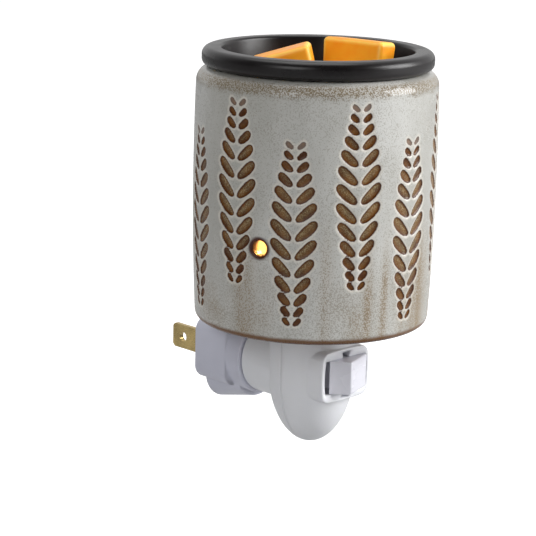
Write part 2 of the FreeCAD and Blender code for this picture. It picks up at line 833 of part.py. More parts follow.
# Shade
def shade():
    low = shade_bottom
    foot_r = shade_bottom_radius - shade_foot_edge
    shoulder_z = shade_top - shade_shoulder
    middle_z = (low + shade_top) / 2
    inner_low = shade_bottom_radius - shade_wall
    floor_round_z = shade_floor_top + shade_floor_round
    land_z = shade_top - shade_mouth_land
    body = turned(
        (0, shade_floor), (shade_foot_radius, shade_floor), (shade_foot_radius + shade_foot_bevel, low),
        (foot_r, low), round_corner((foot_r, low + shade_foot_edge), shade_foot_edge, -90, 0),
        ((shade_middle_radius, middle_z), (shade_top_radius, shoulder_z)),
        round_corner((shade_top_radius - shade_shoulder, shoulder_z), shade_shoulder, 0, 90),
        (shade_mouth_radius, shade_top), (shade_mouth_radius, land_z),
        (shade_top_radius - shade_wall, land_z - shade_mouth_flare),
        ((shade_middle_radius - shade_wall, middle_z), (inner_low, floor_round_z)),
        round_corner((inner_low - shade_floor_round, floor_round_z), shade_floor_round, 0, -90),
        (0, shade_floor_top))
    neck = rod_z(holder_radius + part_gap, 0, shade_floor_top + 1)
    body = body.cut([neck, light_hole()])
    return body.makeFillet(light_hole_edge, [e for e in body.Edges if on_hole_rim(e)])


def hole_direction():
    azimuth = math.radians(light_hole_azimuth)
    return Vector(math.sin(azimuth), -math.cos(azimuth), 0)


def light_hole():
    start = Vector(0, lamp_y, shade_bottom + light_hole_height)
    return Part.makeCylinder(light_hole_radius, 2 * shade_middle_radius, start, hole_direction())


def on_hole_rim(edge):
    """True for the outer rim of the light hole."""
    centre = Vector(0, lamp_y, shade_bottom + light_hole_height) + hole_direction() * shade_middle_radius
    return edge.CenterOfMass.distanceToPoint(centre) < shade_wall / 2 and edge.Length > 2 * light_hole_radius


# Dish and wax
def dish():
    neck = shade_mouth_radius - 2 * part_gap
    floor_r = rim_inner_radius - dish_taper
    lip_centre = rim_radius - rim_under_round
    bead_centre = (rim_radius - rim_round, rim_top - rim_round)
    inner_centre = (rim_inner_radius + rim_inner_round, rim_top - rim_inner_round)
    return turned(
        (0, dish_under), (neck - dish_under_taper, dish_under), (neck, dish_seat), (lip_centre, dish_seat),
        round_corner((lip_centre, dish_seat + rim_under_round), rim_under_round, -90, 0),
        (rim_radius, rim_top - rim_round), round_corner(bead_centre, rim_round, 0, 90),
        (rim_inner_radius + rim_inner_round, rim_top), round_corner(inner_centre, rim_inner_round, 90, 180),
        (floor_r, dish_floor + dish_corner),
        round_corner((floor_r - dish_corner, dish_floor + dish_corner), dish_corner, 0, -90), (0, dish_floor))


def wax_melt(size_ratios):
    """Tapered block of wax with rounded edges, centred, its wide face up."""
    width, depth, height = [ratio * rim_inner_radius for ratio in size_ratios]
    wires = []
    for z, inset in ((-height / 2, melt_draft), (height / 2, 0)):
        w = width / 2 - inset
        d = depth / 2 - inset
        corners = [Vector(-w, -d, z), Vector(w, -d, z), Vector(w, d, z), Vector(-w, d, z)]
        wires.append(Part.makePolygon(corners + corners[:1]))
    block = Part.makeLoft(wires, True, True)
    return block.makeFillet(melt_edge, block.Edges)


def in_dish(melt, place_ratios, turn, lean_axis, lean):
    x, y, z = [ratio * rim_inner_radius for ratio in place_ratios]
    melt.Placement = Placement(Vector(x, lamp_y + y, dish_floor + z),
                               Rotation(Vector(0, 0, 1), turn).multiply(Rotation(lean_axis, lean)))
    return melt


def left_melt():
    """Leans in the dish with its right end up."""
    return in_dish(wax_melt(left_melt_size_ratios), left_melt_place_ratios, left_melt_turn,
                   Vector(0, 1, 0), left_melt_lean)


def right_melt():
    """Stands on its long edge and leans on the side of the dish."""
    return in_dish(wax_melt(right_melt_size_ratios), right_melt_place_ratios, right_melt_turn,
                   Vector(1, 0, 0), right_melt_lean)


# Insulated leads inside the housing
def line_lead():
    """From the foot of the line wiper, under the carrier, up to the line terminal."""
    foot_y = carrier_back + wiper_thickness + lead_radius
    end_y = base_rear + lead_radius + lead_touch
    top = frame_height - terminal_half_height - lead_touch
    return path_tube([(outer_ring_middle, foot_y, -wiper_foot_place), (outer_ring_middle, foot_y, -lead_drop),
                      (outer_ring_middle, end_y, -lead_drop), (0, end_y, -wiper_foot_place), (0, end_y, top)],
                     lead_radius)


def neutral_lead():
    """From the foot of the neutral wiper, over the carrier, to the tab of the socket shell."""
    foot_y = carrier_back + wiper_thickness + lead_radius
    x = socket_inner - part_gap - lead_radius - lead_touch
    return path_tube([(0, foot_y, wiper_foot_place), (0, foot_y, lead_drop), (x, carrier_front, lead_drop),
                      (x, lamp_y, lead_drop + 2 * lead_radius), (x, lamp_y, contact_foot + lead_radius)],
                     lead_radius)


def lamp_lead():
    """From the pin of the lamp terminal up to the tail of the centre contact."""
    pin_y = base_rear + lead_radius + lead_touch
    x = -contact_stem_half_width - lead_radius - lead_touch
    return path_tube([(-contact_stud_place, pin_y, frame_height + contact_pin_radius + lead_touch),
                      (-contact_stud_place, pin_y, lead_drop), (x, lamp_y, holder_bottom + 2 * lead_radius),
                      (x, lamp_y, contact_foot + lead_radius)], lead_radius)


def build():
    os.makedirs("parts", exist_ok=True)
    line = blade(1, line_blade_width, outer_ring_middle)
    neutral = blade(-1, neutral_blade_width, inner_ring_middle)
    save(plug_blank().cut([line, neutral]), "plug_body")
    save(line, "line_blade")
    save(neutral, "neutral_blade")
    save(slip_ring(inner_ring_bore, inner_ring_radius), "inner_slip_ring")
    save(slip_ring(outer_ring_bore, outer_ring_radius), "outer_slip_ring")
    save(swivel_clip(), "swivel_clip")
    save(swivel_washer(), "swivel_washer")
    save(rear_shell(), "rear_shell")
    save(front_shell(), "front_shell")
    save(shell_screw(), "shell_screw")
    save(rocker(), "rocker")
    save(plunger(), "switch_plunger")
    save(plunger_spring(), "switch_spring")
    save(contact_lever(), "contact_lever")
    save(switch_base(), "switch_base")
    save(line_terminal(), "line_terminal")
    save(lamp_terminal(), "lamp_terminal")
    save(contact_carrier(), "contact_carrier")
    save(wiper(0, inner_ring_middle, 1), "neutral_wiper")
    save(wiper(outer_ring_middle, 0, -1), "line_wiper")
    save(lampholder(), "lampholder")
    save(socket_shell(), "socket_shell")
    save(centre_contact(), "centre_contact")
    save(shade_nut(), "shade_nut")
    save(shade_gasket(), "shade_gasket")
    save(bulb_glass(), "bulb_glass")
    save(bulb_cap(), "bulb_cap")
    save(bulb_insulator(), "bulb_insulator")
    save(bulb_tip_contact(), "bulb_tip_contact")
    wires = filament_leads()
    save(bulb_stem().cut(wires), "bulb_stem")
    save(wires, "filament_leads")
    save(filament().cut(wires), "filament")
    save(shade(), "shade")
    save(dish(), "dish")
    save(left_melt(), "left_wax_melt")
    save(right_melt(), "right_wax_melt")
    save(line_lead(), "line_lead")
    save(neutral_lead(), "neutral_lead")
    save(lamp_lead(), "lamp_lead")


build()
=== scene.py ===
"""Plug-in wax melt warmer: a glazed shade over a lamp, a soft dish of wax, and a switched housing."""

import json
import logging
import math
from dataclasses import dataclass, field
from enum import Enum

import bmesh
import bpy
import numpy as np
from mathutils import Matrix, Vector


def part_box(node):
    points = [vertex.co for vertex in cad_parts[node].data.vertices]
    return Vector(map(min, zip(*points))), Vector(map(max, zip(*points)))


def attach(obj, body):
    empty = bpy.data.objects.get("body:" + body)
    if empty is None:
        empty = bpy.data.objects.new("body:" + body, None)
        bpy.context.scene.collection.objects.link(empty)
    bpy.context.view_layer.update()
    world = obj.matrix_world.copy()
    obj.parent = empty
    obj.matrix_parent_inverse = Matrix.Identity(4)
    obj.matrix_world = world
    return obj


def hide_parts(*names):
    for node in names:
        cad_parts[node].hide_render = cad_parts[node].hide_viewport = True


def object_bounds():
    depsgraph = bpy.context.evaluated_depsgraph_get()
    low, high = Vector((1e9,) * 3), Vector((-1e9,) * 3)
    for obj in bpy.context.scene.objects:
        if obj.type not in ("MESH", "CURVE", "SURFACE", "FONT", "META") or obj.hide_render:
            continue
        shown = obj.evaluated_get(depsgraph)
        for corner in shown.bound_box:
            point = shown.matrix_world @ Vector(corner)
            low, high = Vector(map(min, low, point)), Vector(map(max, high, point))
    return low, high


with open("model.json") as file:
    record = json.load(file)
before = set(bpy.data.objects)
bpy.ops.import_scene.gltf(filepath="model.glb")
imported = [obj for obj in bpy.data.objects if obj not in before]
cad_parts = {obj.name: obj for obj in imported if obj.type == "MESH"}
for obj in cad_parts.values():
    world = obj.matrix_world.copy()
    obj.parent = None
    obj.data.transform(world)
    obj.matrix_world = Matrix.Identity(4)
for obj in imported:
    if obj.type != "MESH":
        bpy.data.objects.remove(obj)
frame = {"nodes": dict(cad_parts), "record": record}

CAD_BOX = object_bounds()
MM = 0.001
IMAGE_WIDTH_PX = 536
SENSOR_WIDTH = 36.0

# Points closer than this, in metres, become one: in a new surface, and in the copy of a solid
NEW_MERGE = 1e-7
SOLID_MERGE = 2e-6

# Names of the values that are stored on the meshes for the materials to read
LEAF_EDGE = "leaf_edge"
LEAF_SIZE = "leaf_size"
LEAF_SIDE = "leaf_side"
HOLE_RIM = "hole_rim"
# Strength of the glaze runs, one of them partly painted shade
GLAZE_RUN_AND_SHADE = "glaze_run_and_shade"
BLOCK_VALUES = ("block_x", "block_y", "block_z")

log = logging.getLogger("warmer")

Colour = tuple[float, float, float]
Point = tuple[float, float, float]
Span = tuple[float, float]
Socket = bpy.types.NodeSocket

WHITE = (1.0, 1.0, 1.0, 1.0)
# What a noise mostly keeps between
NOISE_RANGE: Span = (0.3, 0.7)


def linear(colour: Colour) -> tuple[float, float, float, float]:
    """Turn a display colour into the linear one that a shader takes.

    A part v goes to v / 12.92 up to 0.04045, and to ((v + 0.055) / 1.055)^2.4 above it.

    Args:
        colour: red, green and blue as seen on a screen, 0 to 1.

    Returns:
        Linear red, green, blue and an alpha of 1.
    """
    value = np.array(colour)
    low, high = value / 12.92, ((value + 0.055) / 1.055) ** 2.4
    return (*np.where(value <= 0.04045, low, high).tolist(), 1.0)


def smooth_step(start: float, end: float, value: np.ndarray) -> np.ndarray:
    """Rise from 0 at start to 1 at end as 3t^2 - 2t^3."""
    t = np.clip((value - start) / (end - start), 0.0, 1.0)
    return t * t * (3.0 - 2.0 * t)


# Meshes from grids
def lattice(rows: int, columns: int, wrap_rows: bool = False) -> np.ndarray:
    """Quads between neighbouring points of a grid whose points are numbered row by row, each row a ring.

    Args:
        rows: number of rows.
        columns: number of points in a row.
        wrap_rows: join the last row to the first.

    Returns:
        Array of point numbers, four to a quad, in row and column order.
    """
    j, i = np.meshgrid(np.arange(rows - (not wrap_rows)), np.arange(columns), indexing="ij")
    up, along = (j + 1) % rows, (i + 1) % columns
    return np.stack([j * columns + i, j * columns + along, up * columns + along, up * columns + i], axis=-1)


def link(name: str, data: bpy.types.ID) -> bpy.types.Object:
    """Put a mesh, a lamp or a camera into the scene.

    Args:
        name: the object's name.
        data: what the object holds.

    Returns:
        The object, at the origin.
    """
    piece = bpy.data.objects.new(name, data)
    bpy.context.scene.collection.objects.link(piece)
    return piece


def write_mesh(mesh: bpy.types.Mesh, build: bmesh.types.BMesh, merge: float, closed: bool = True) -> None:
    """Merge the doubled points of a working mesh and write it into a smooth mesh.

    Args:
        mesh: the mesh to write.
        build: the working mesh, which is freed.
        merge: distance under which points become one.
        closed: the surface shuts on itself, so its outside can be worked out.
    """
    bmesh.ops.remove_doubles(build, verts=build.verts, dist=merge)
    if closed:
        bmesh.ops.recalc_face_normals(build, faces=build.faces)
    build.to_mesh(mesh)
    build.free()
    mesh.shade_smooth()


def make_piece(name: str, points: np.ndarray, quads: np.ndarray, closed: bool = True) -> bpy.types.Object:
    """Make a smooth object of a grid, with its doubled points merged and its faces outwards.

    Args:
        name: the piece's name.
        points: the places in metres, with any leading shape.
        quads: point numbers, four to a face.
        closed: the surface shuts on itself, so its outside can be worked out.

    Returns:
        The object, at the origin.
    """
    mesh = bpy.data.meshes.new(name)
    mesh.from_pydata(points.reshape(-1, 3).tolist(), [], quads.reshape(-1, 4).tolist())
    build = bmesh.new()
    build.from_mesh(mesh)
    write_mesh(mesh, build, NEW_MERGE, closed)
    return link(name, mesh)


def smooth_copy(name: str, node: str, crease: float) -> bpy.types.Object:
    """Copy a solid's mesh with its doubled points merged, smooth apart from edges over an angle.

    Args:
        name: name of the new piece.
        node: the solid to copy.
        crease: angle in degrees from which an edge stays sharp.

    Returns:
        The object, with normals weighted by the faces' areas.
    """
    solid = frame["nodes"][node]
    mesh = bpy.data.meshes.new(name)
    build = bmesh.new()
    build.from_mesh(solid.data)
    build.transform(solid.matrix_world)
    write_mesh(mesh, build, SOLID_MERGE)
    mesh.set_sharp_from_angle(angle=math.radians(crease))
    piece = link(name, mesh)
    weighted = piece.modifiers.new("weighted_normals", "WEIGHTED_NORMAL")
    weighted.keep_sharp = True
    return piece


def add_values(piece: bpy.types.Object, name: str, values: np.ndarray) -> None:
    """Store one number for each point of a piece's mesh under a name that its material reads."""
    attribute = piece.data.attributes.new(name, "FLOAT", "POINT")
    attribute.data.foreach_set("value", values.astype(np.float32))


def places(piece: bpy.types.Object) -> np.ndarray:
    """Read the places of a piece's points.

    Args:
        piece: the object.

    Returns:
        Array of three columns, in metres.
    """
    found = np.empty(len(piece.data.vertices) * 3)
    piece.data.vertices.foreach_get("co", found)
    return found.reshape(-1, 3)


def middle_line(low: Vector, high: Vector) -> Vector:
    """Middle of a box in plan, at height 0, which its upright axis goes through."""
    return Vector(((low.x + high.x) / 2, (low.y + high.y) / 2, 0.0))


def rounded(corners: list[tuple[float, float, float]], steps: int) -> np.ndarray:
    """Profile with its corners rounded by arcs that touch both sides.

    Args:
        corners: radius, height and rounding radius of each corner.
        steps: points in each arc.

    Returns:
        Points of radius and height.
    """
    spots = np.array(corners)
    profile = []
    for index, (r, z, rounding) in enumerate(corners):
        here = np.array([r, z])
        if rounding <= 0 or index in (0, len(corners) - 1):
            profile.append(here[None])
            continue
        back, onward = spots[index - 1, :2] - here, spots[index + 1, :2] - here
        back, onward = back / np.linalg.norm(back), onward / np.linalg.norm(onward)
        half = math.acos(float(np.clip(back @ onward, -1, 1))) / 2
        centre = here + (back + onward) / np.linalg.norm(back + onward) * rounding / math.sin(half)
        start = here + back * rounding / math.tan(half) - centre
        end = here + onward * rounding / math.tan(half) - centre
        t = np.linspace(0, 1, steps)[:, None]
        sweep = math.pi - 2 * half
        arc = (np.sin((1 - t) * sweep) * start + np.sin(t * sweep) * end) / math.sin(sweep)
        profile.append(centre + arc)
    return np.concatenate(profile)


def bearings(columns: int, start: float = 0.0) -> np.ndarray:
    """Angles in degrees, evenly once round from start."""
    return start + np.linspace(0.0, 360.0, columns, endpoint=False)


def turned(profile: np.ndarray, axis: Vector, azimuth: np.ndarray) -> np.ndarray:
    """Turn a profile about an upright axis: x + r sin a, y - r cos a, z.

    Args:
        profile: points of radius and height, in metres.
        axis: a point that the axis goes through.
        azimuth: angle of each column in degrees, from the front.

    Returns:
        Grid of places, one row for each profile point.
    """
    angle = np.radians(azimuth)
    radius, height = profile[:, :1], profile[:, 1:]
    return np.stack([axis.x + radius * np.sin(angle), axis.y - radius * np.cos(angle),
                     height + 0 * angle], axis=-1)


# Shader nodes
class Nodes:
    """Short ways to add and join the nodes of one node tree."""

    # Where a Mix node keeps its share, its two colours and the mixed colour
    MIX_INPUTS = (0, 6, 7)
    MIX_RESULT = 2

    def __init__(self, tree: bpy.types.NodeTree) -> None:
        """Keep the tree that the nodes go into."""
        self.tree = tree

    def join(self, node: bpy.types.Node, name: str | int, value: object) -> None:
        """Set one input of a node, or join a socket to it.

        Args:
            node: the node.
            name: the input's name or number.
            value: a value, or the output socket to join.
        """
        socket = node.inputs[name]
        if isinstance(value, Socket):
            self.tree.links.new(value, socket)
        else:
            socket.default_value = value

    def fill(self, node: bpy.types.Node, **inputs: object) -> bpy.types.Node:
        """Set or join a node's inputs.

        Args:
            node: the node.
            inputs: a value or an output socket for each input, by its name with spaces as underscores.

        Returns:
            The same node.
        """
        for name, value in inputs.items():
            self.join(node, name.replace("_", " "), value)
        return node

    def add(self, kind: str, **inputs: object) -> bpy.types.Node:
        """Add a node of a kind, named without the leading ShaderNode, and fill its inputs."""
        return self.fill(self.tree.nodes.new("ShaderNode" + kind), **inputs)

    def math(self, operation: str, first: object, second: object = 0.0, clamp: bool = False) -> Socket:
        """Work out one Math node.

        Args:
            operation: what it does with the two.
            first: first value or socket.
            second: second value or socket.
            clamp: keep the result between 0 and 1.

        Returns:
            The result.
        """
        node = self.add("Math")
        node.operation = operation
        node.use_clamp = clamp
        self.join(node, 0, first)
        self.join(node, 1, second)
        return node.outputs[0]

    def times(self, first: object, second: object) -> Socket:
        """Product of two."""
        return self.math("MULTIPLY", first, second)

    def plus(self, first: object, second: object) -> Socket:
        """Sum of two."""
        return self.math("ADD", first, second)

    def minus(self, first: object, second: object) -> Socket:
        """First less second."""
        return self.math("SUBTRACT", first, second)

    def larger(self, first: object, second: object) -> Socket:
        """Larger of two."""
        return self.math("MAXIMUM", first, second)

    def scaled(self, value: object, factor: object, offset: object) -> Socket:
        """Value times factor, plus offset."""
        return self.plus(self.times(value, factor), offset)

    def ramp(self, value: object, start: float, end: float, low: object = 0.0,
             high: object = 1.0) -> Socket:
        """Go from low to high in a smooth step while a value goes from start to end.

        Args:
            value: the value.
            start: where the step starts.
            end: where it ends, which may be under start.
            low: result at the start.
            high: result at the end.

        Returns:
            The result.
        """
        node = self.add("MapRange", Value=value, From_Min=start, From_Max=end, To_Min=low, To_Max=high)
        node.interpolation_type = "SMOOTHSTEP"
        return node.outputs["Result"]

    def mix(self, share: object, first: object, second: object) -> Socket:
        """Mix two colours.

        Args:
            share: share of the second.
            first: first colour.
            second: second colour.

        Returns:
            The mixed colour.
        """
        node = self.add("Mix")
        node.data_type = "RGBA"
        for index, value in zip(self.MIX_INPUTS, (share, first, second)):
            self.join(node, index, value)
        return node.outputs[self.MIX_RESULT]

    def noise(self, scale: object, vector: object = None, detail: float = 2.0,
              rough: float = 0.5) -> Socket:
        """Noise, about 0.3 to 0.7.

        Args:
            scale: how fine it is.
            vector: where to read it, or nothing for Object coordinates.
            detail: how many finer noises are laid over it.
            rough: strength of the finer ones.

        Returns:
            The noise's value.
        """
        node = self.add("TexNoise", Scale=scale, Detail=detail, Roughness=rough,
                        Vector=self.place() if vector is None else vector)
        return node.outputs["Fac"]

    def swing(self, scale: float, width: float, detail: float) -> Socket:
        """Noise that swings round 0 by half a width each way."""
        return self.times(self.minus(self.noise(scale, detail=detail), 0.5), width)

    def stored(self, name: str) -> Socket:
        """Read a value that is stored on the mesh.

        Args:
            name: the value's name.

        Returns:
            The value.
        """
        node = self.add("Attribute")
        node.attribute_name = name
        return node.outputs["Fac"]

    def place(self) -> Socket:
        """Object coordinates."""
        return self.add("TexCoord").outputs["Object"]

    def stretched(self, stretch: Point, shift: Point = (0.0, 0.0, 0.0)) -> Socket:
        """Object coordinates, each way scaled and then shifted."""
        return self.add("Mapping", Vector=self.place(), Scale=stretch, Location=shift).outputs["Vector"]


def new_group(name: str, inputs: dict[str, tuple[str, object]],
              outputs: dict[str, str]) -> tuple[Nodes, bpy.types.NodeOutputs, bpy.types.Node]:
    """Start a shader node group with named sockets.

    Args:
        name: the group's name.
        inputs: socket kind and starting value of each input.
        outputs: socket kind of each output.

    Returns:
        The group's node helper, the sockets that it is given, and its output node.
    """
    tree = bpy.data.node_groups.new(name, "ShaderNodeTree")
    for label, (kind, value) in inputs.items():
        socket = tree.interface.new_socket(label, in_out="INPUT", socket_type="NodeSocket" + kind)
        socket.default_value = value
    for label, kind in outputs.items():
        tree.interface.new_socket(label, in_out="OUTPUT", socket_type="NodeSocket" + kind)
    return Nodes(tree), tree.nodes.new("NodeGroupInput").outputs, tree.nodes.new("NodeGroupOutput")


class Effect(Enum):
    """Effects that several materials share, each one shader node group."""

    GRAIN = "moulded_grain"
    MOTTLE = "colour_mottle"
    SPECKS = "fine_specks"
    BRUSHED = "brushed_lines"

    def tree(self) -> bpy.types.NodeTree:
        """The effect's node group, made the first time that it is asked for."""
        return bpy.data.node_groups.get(self.value) or EFFECT_MAKERS[self](self.value)


def grain_group(name: str, finer: float = 5.0, fine_share: float = 0.4) -> bpy.types.NodeTree:
    """Make the fine grain of a moulded surface: bump of two noises.

    Args:
        name: the group's name.
        finer: how many times as fine the second noise is.
        fine_share: strength of the second noise.

    Returns:
        The node group.
    """
    nodes, given, out = new_group(
        name, {"Size": ("Float", 1000.0), "Depth": ("Float", 0.00001)}, {"Normal": "Vector"})
    fine = nodes.noise(nodes.times(given["Size"], finer))
    height = nodes.scaled(fine, fine_share, nodes.noise(given["Size"]))
    bump = nodes.add("Bump", Height=height, Distance=given["Depth"], Strength=1.0)
    nodes.join(out, "Normal", bump.outputs["Normal"])
    return nodes.tree


def mottle_group(name: str, start: float = 0.36, end: float = 0.66) -> bpy.types.NodeTree:
    """Make a slow change between two colours, and the same change as a value.

    Args:
        name: the group's name.
        start: noise up to which it is all the first colour.
        end: noise from which it is all the second.

    Returns:
        The node group.
    """
    nodes, given, out = new_group(
        name, {"Colour": ("Color", WHITE), "Other": ("Color", WHITE), "Size": ("Float", 60.0)},
        {"Colour": "Color", "Value": "Float"})
    change = nodes.ramp(nodes.noise(given["Size"], detail=4.0), start, end)
    nodes.fill(out, Colour=nodes.mix(change, given["Colour"], given["Other"]), Value=change)
    return nodes.tree


def specks_group(name: str, level: float = 0.78, reach: float = 0.32,
                 crispness: float = 14.0) -> bpy.types.NodeTree:
    """Make a mask of small specks: a fine noise above a level that an amount lowers.

    Args:
        name: the group's name.
        level: the level for an amount of 0.
        reach: how much an amount of 1 lowers it.
        crispness: how fast a speck's edge rises.

    Returns:
        The node group.
    """
    nodes, given, out = new_group(
        name, {"Size": ("Float", 1500.0), "Amount": ("Float", 0.3)}, {"Mask": "Float"})
    fine = nodes.noise(given["Size"], detail=1.0, rough=0.6)
    over = nodes.minus(fine, nodes.minus(level, nodes.times(given["Amount"], reach)))
    nodes.join(out, "Mask", nodes.math("MULTIPLY", over, crispness, clamp=True))
    return nodes.tree


def brushed_group(name: str, stretch: Point = (1.0, 0.04, 1.0)) -> bpy.types.NodeTree:
    """Make long fine lines along Y, as a value round 0.5 and as a normal.

    Args:
        name: the group's name.
        stretch: how the noise is scaled each way.

    Returns:
        The node group.
    """
    nodes, given, out = new_group(
        name, {"Size": ("Float", 4000.0), "Depth": ("Float", 0.000004)},
        {"Value": "Float", "Normal": "Vector"})
    lines = nodes.noise(given["Size"], vector=nodes.stretched(stretch), detail=3.0)
    bump = nodes.add("Bump", Height=lines, Distance=given["Depth"], Strength=1.0)
    nodes.fill(out, Value=lines, Normal=bump.outputs["Normal"])
    return nodes.tree


EFFECT_MAKERS = {Effect.GRAIN: grain_group, Effect.MOTTLE: mottle_group, Effect.SPECKS: specks_group,
                 Effect.BRUSHED: brushed_group}


def use_effect(nodes: Nodes, effect: Effect, **inputs: object) -> bpy.types.NodeOutputs:
    """Place an effect's group in a material.

    Args:
        nodes: the material's nodes.
        effect: the effect.
        inputs: a value or an output socket for each of the group's inputs.

    Returns:
        The group's output sockets.
    """
    node = nodes.add("Group")
    node.node_tree = effect.tree()
    return nodes.fill(node, **inputs).outputs


def new_material(name: str) -> tuple[bpy.types.Material, Nodes, bpy.types.Node]:
    """Start a material.

    Args:
        name: the material's name.

    Returns:
        The material, its node helper and its Principled shader.
    """
    material = bpy.data.materials.new(name)
    material.use_nodes = True
    return material, Nodes(material.node_tree), material.node_tree.nodes["Principled BSDF"]


@dataclass(frozen=True)
class Plastic:
    """Moulded plastic or rubber with a fine grain and patches of a slightly lighter or darker tone."""

    name: str
    colour: Colour
    lighter: float
    roughness: float = 0.4
    grain: float = 900.0
    depth: float = 0.000012
    glow_through: float = 0.0
    glow_reach: Point = (0.002, 0.002, 0.0024)
    patches: float = 45.0
    gloss_change: float = 0.04

    def material(self) -> bpy.types.Material:
        """Build the material.

        Returns:
            The material.
        """
        material, nodes, shader = new_material(self.name)
        other = tuple(part + self.lighter for part in self.colour)
        tone = use_effect(nodes, Effect.MOTTLE, Colour=linear(self.colour), Other=linear(other),
                          Size=self.patches)
        grain = use_effect(nodes, Effect.GRAIN, Size=self.grain, Depth=self.depth)
        rough = nodes.ramp(tone["Value"], 0.0, 1.0, self.roughness - self.gloss_change,
                           self.roughness + self.gloss_change)
        nodes.fill(shader, Base_Color=tone["Colour"], Roughness=rough, Normal=grain["Normal"])
        if self.glow_through:
            nodes.fill(shader, Subsurface_Weight=self.glow_through, Subsurface_Radius=self.glow_reach,
                       Subsurface_Scale=1.0)
        return material


@dataclass(frozen=True)
class Metal:
    """Stamped or drawn metal with long fine lines and dulled patches."""

    name: str
    colour: Colour
    roughness: float = 0.3
    smoother: float = 0.08
    rougher: float = 0.1
    dulled: float = 0.86
    patches: float = 160.0
    lines: float = 5000.0
    line_range: Span = (0.25, 0.75)
    line_depth: float = 0.000003

    def material(self) -> bpy.types.Material:
        """Build the material.

        Returns:
            The material.
        """
        material, nodes, shader = new_material(self.name)
        dark = tuple(self.dulled * part for part in self.colour)
        tone = use_effect(nodes, Effect.MOTTLE, Colour=linear(self.colour), Other=linear(dark),
                          Size=self.patches)
        lines = use_effect(nodes, Effect.BRUSHED, Size=self.lines, Depth=self.line_depth)
        rough = nodes.ramp(lines["Value"], *self.line_range, self.roughness - self.smoother,
                           self.roughness + self.rougher)
        nodes.fill(shader, Base_Color=tone["Colour"], Metallic=1.0, Roughness=rough, Normal=lines["Normal"])
        return material


@dataclass(frozen=True)
class Glass:
    """Clear lamp glass, faintly lit from within."""

    name: str
    colour: Colour
    alpha: float
    glow: float
    clearer: float = 0.05
    hazier: float = 0.08
    haze: float = 220.0
    haze_range: Span = (0.3, 0.8)
    smears: float = 400.0
    roughness: Span = (0.04, 0.1)

    def material(self) -> bpy.types.Material:
        """Build the material.

        Returns:
            The material.
        """
        material, nodes, shader = new_material(self.name)
        haze = nodes.ramp(nodes.noise(self.haze, detail=3.0), *self.haze_range, self.alpha - self.clearer,
                          self.alpha + self.hazier)
        rough = nodes.ramp(nodes.noise(self.smears), *NOISE_RANGE, *self.roughness)
        nodes.fill(shader, Base_Color=linear(self.colour), Roughness=rough, Alpha=haze,
                   Emission_Color=linear(self.colour), Emission_Strength=self.glow)
        return material


@dataclass(frozen=True)
class HotWire:
    """Glowing wire, hotter in patches."""

    name: str
    colour: Colour
    strength: float
    hot: Colour = (1.0, 0.8, 0.5)
    patches: float = 500.0

    def material(self) -> bpy.types.Material:
        """Build the material.

        Returns:
            The material.
        """
        material, nodes, shader = new_material(self.name)
        patchy = nodes.ramp(nodes.noise(self.patches), *NOISE_RANGE)
        nodes.fill(shader, Base_Color=linear(self.colour), Emission_Strength=self.strength,
                   Emission_Color=nodes.mix(patchy, linear(self.colour), (*self.hot, 1.0)))
        return material


@dataclass(frozen=True)
class Silicone:
    """Very dark soft rubber with a satin skin and a little dust."""

    name: str = "dark_silicone"
    colour: Colour = (0.062, 0.050, 0.053)
    dusty: Colour = (0.095, 0.081, 0.085)
    speck: Colour = (0.20, 0.18, 0.18)
    patches: float = 70.0
    specks: float = 2600.0
    speck_amount: float = 0.12
    grain: float = 1600.0
    grain_depth: float = 0.000010
    roughness: Span = (0.27, 0.34)
    specular: float = 0.35

    def material(self) -> bpy.types.Material:
        """Build the material.

        Returns:
            The material.
        """
        material, nodes, shader = new_material(self.name)
        tone = use_effect(nodes, Effect.MOTTLE, Colour=linear(self.colour), Other=linear(self.dusty),
                          Size=self.patches)
        specks = use_effect(nodes, Effect.SPECKS, Size=self.specks, Amount=self.speck_amount)
        grain = use_effect(nodes, Effect.GRAIN, Size=self.grain, Depth=self.grain_depth)
        nodes.fill(shader, Base_Color=nodes.mix(specks["Mask"], tone["Colour"], linear(self.speck)),
                   Roughness=nodes.ramp(tone["Value"], 0.0, 1.0, *self.roughness),
                   Normal=grain["Normal"], Specular_IOR_Level=self.specular)
        return material


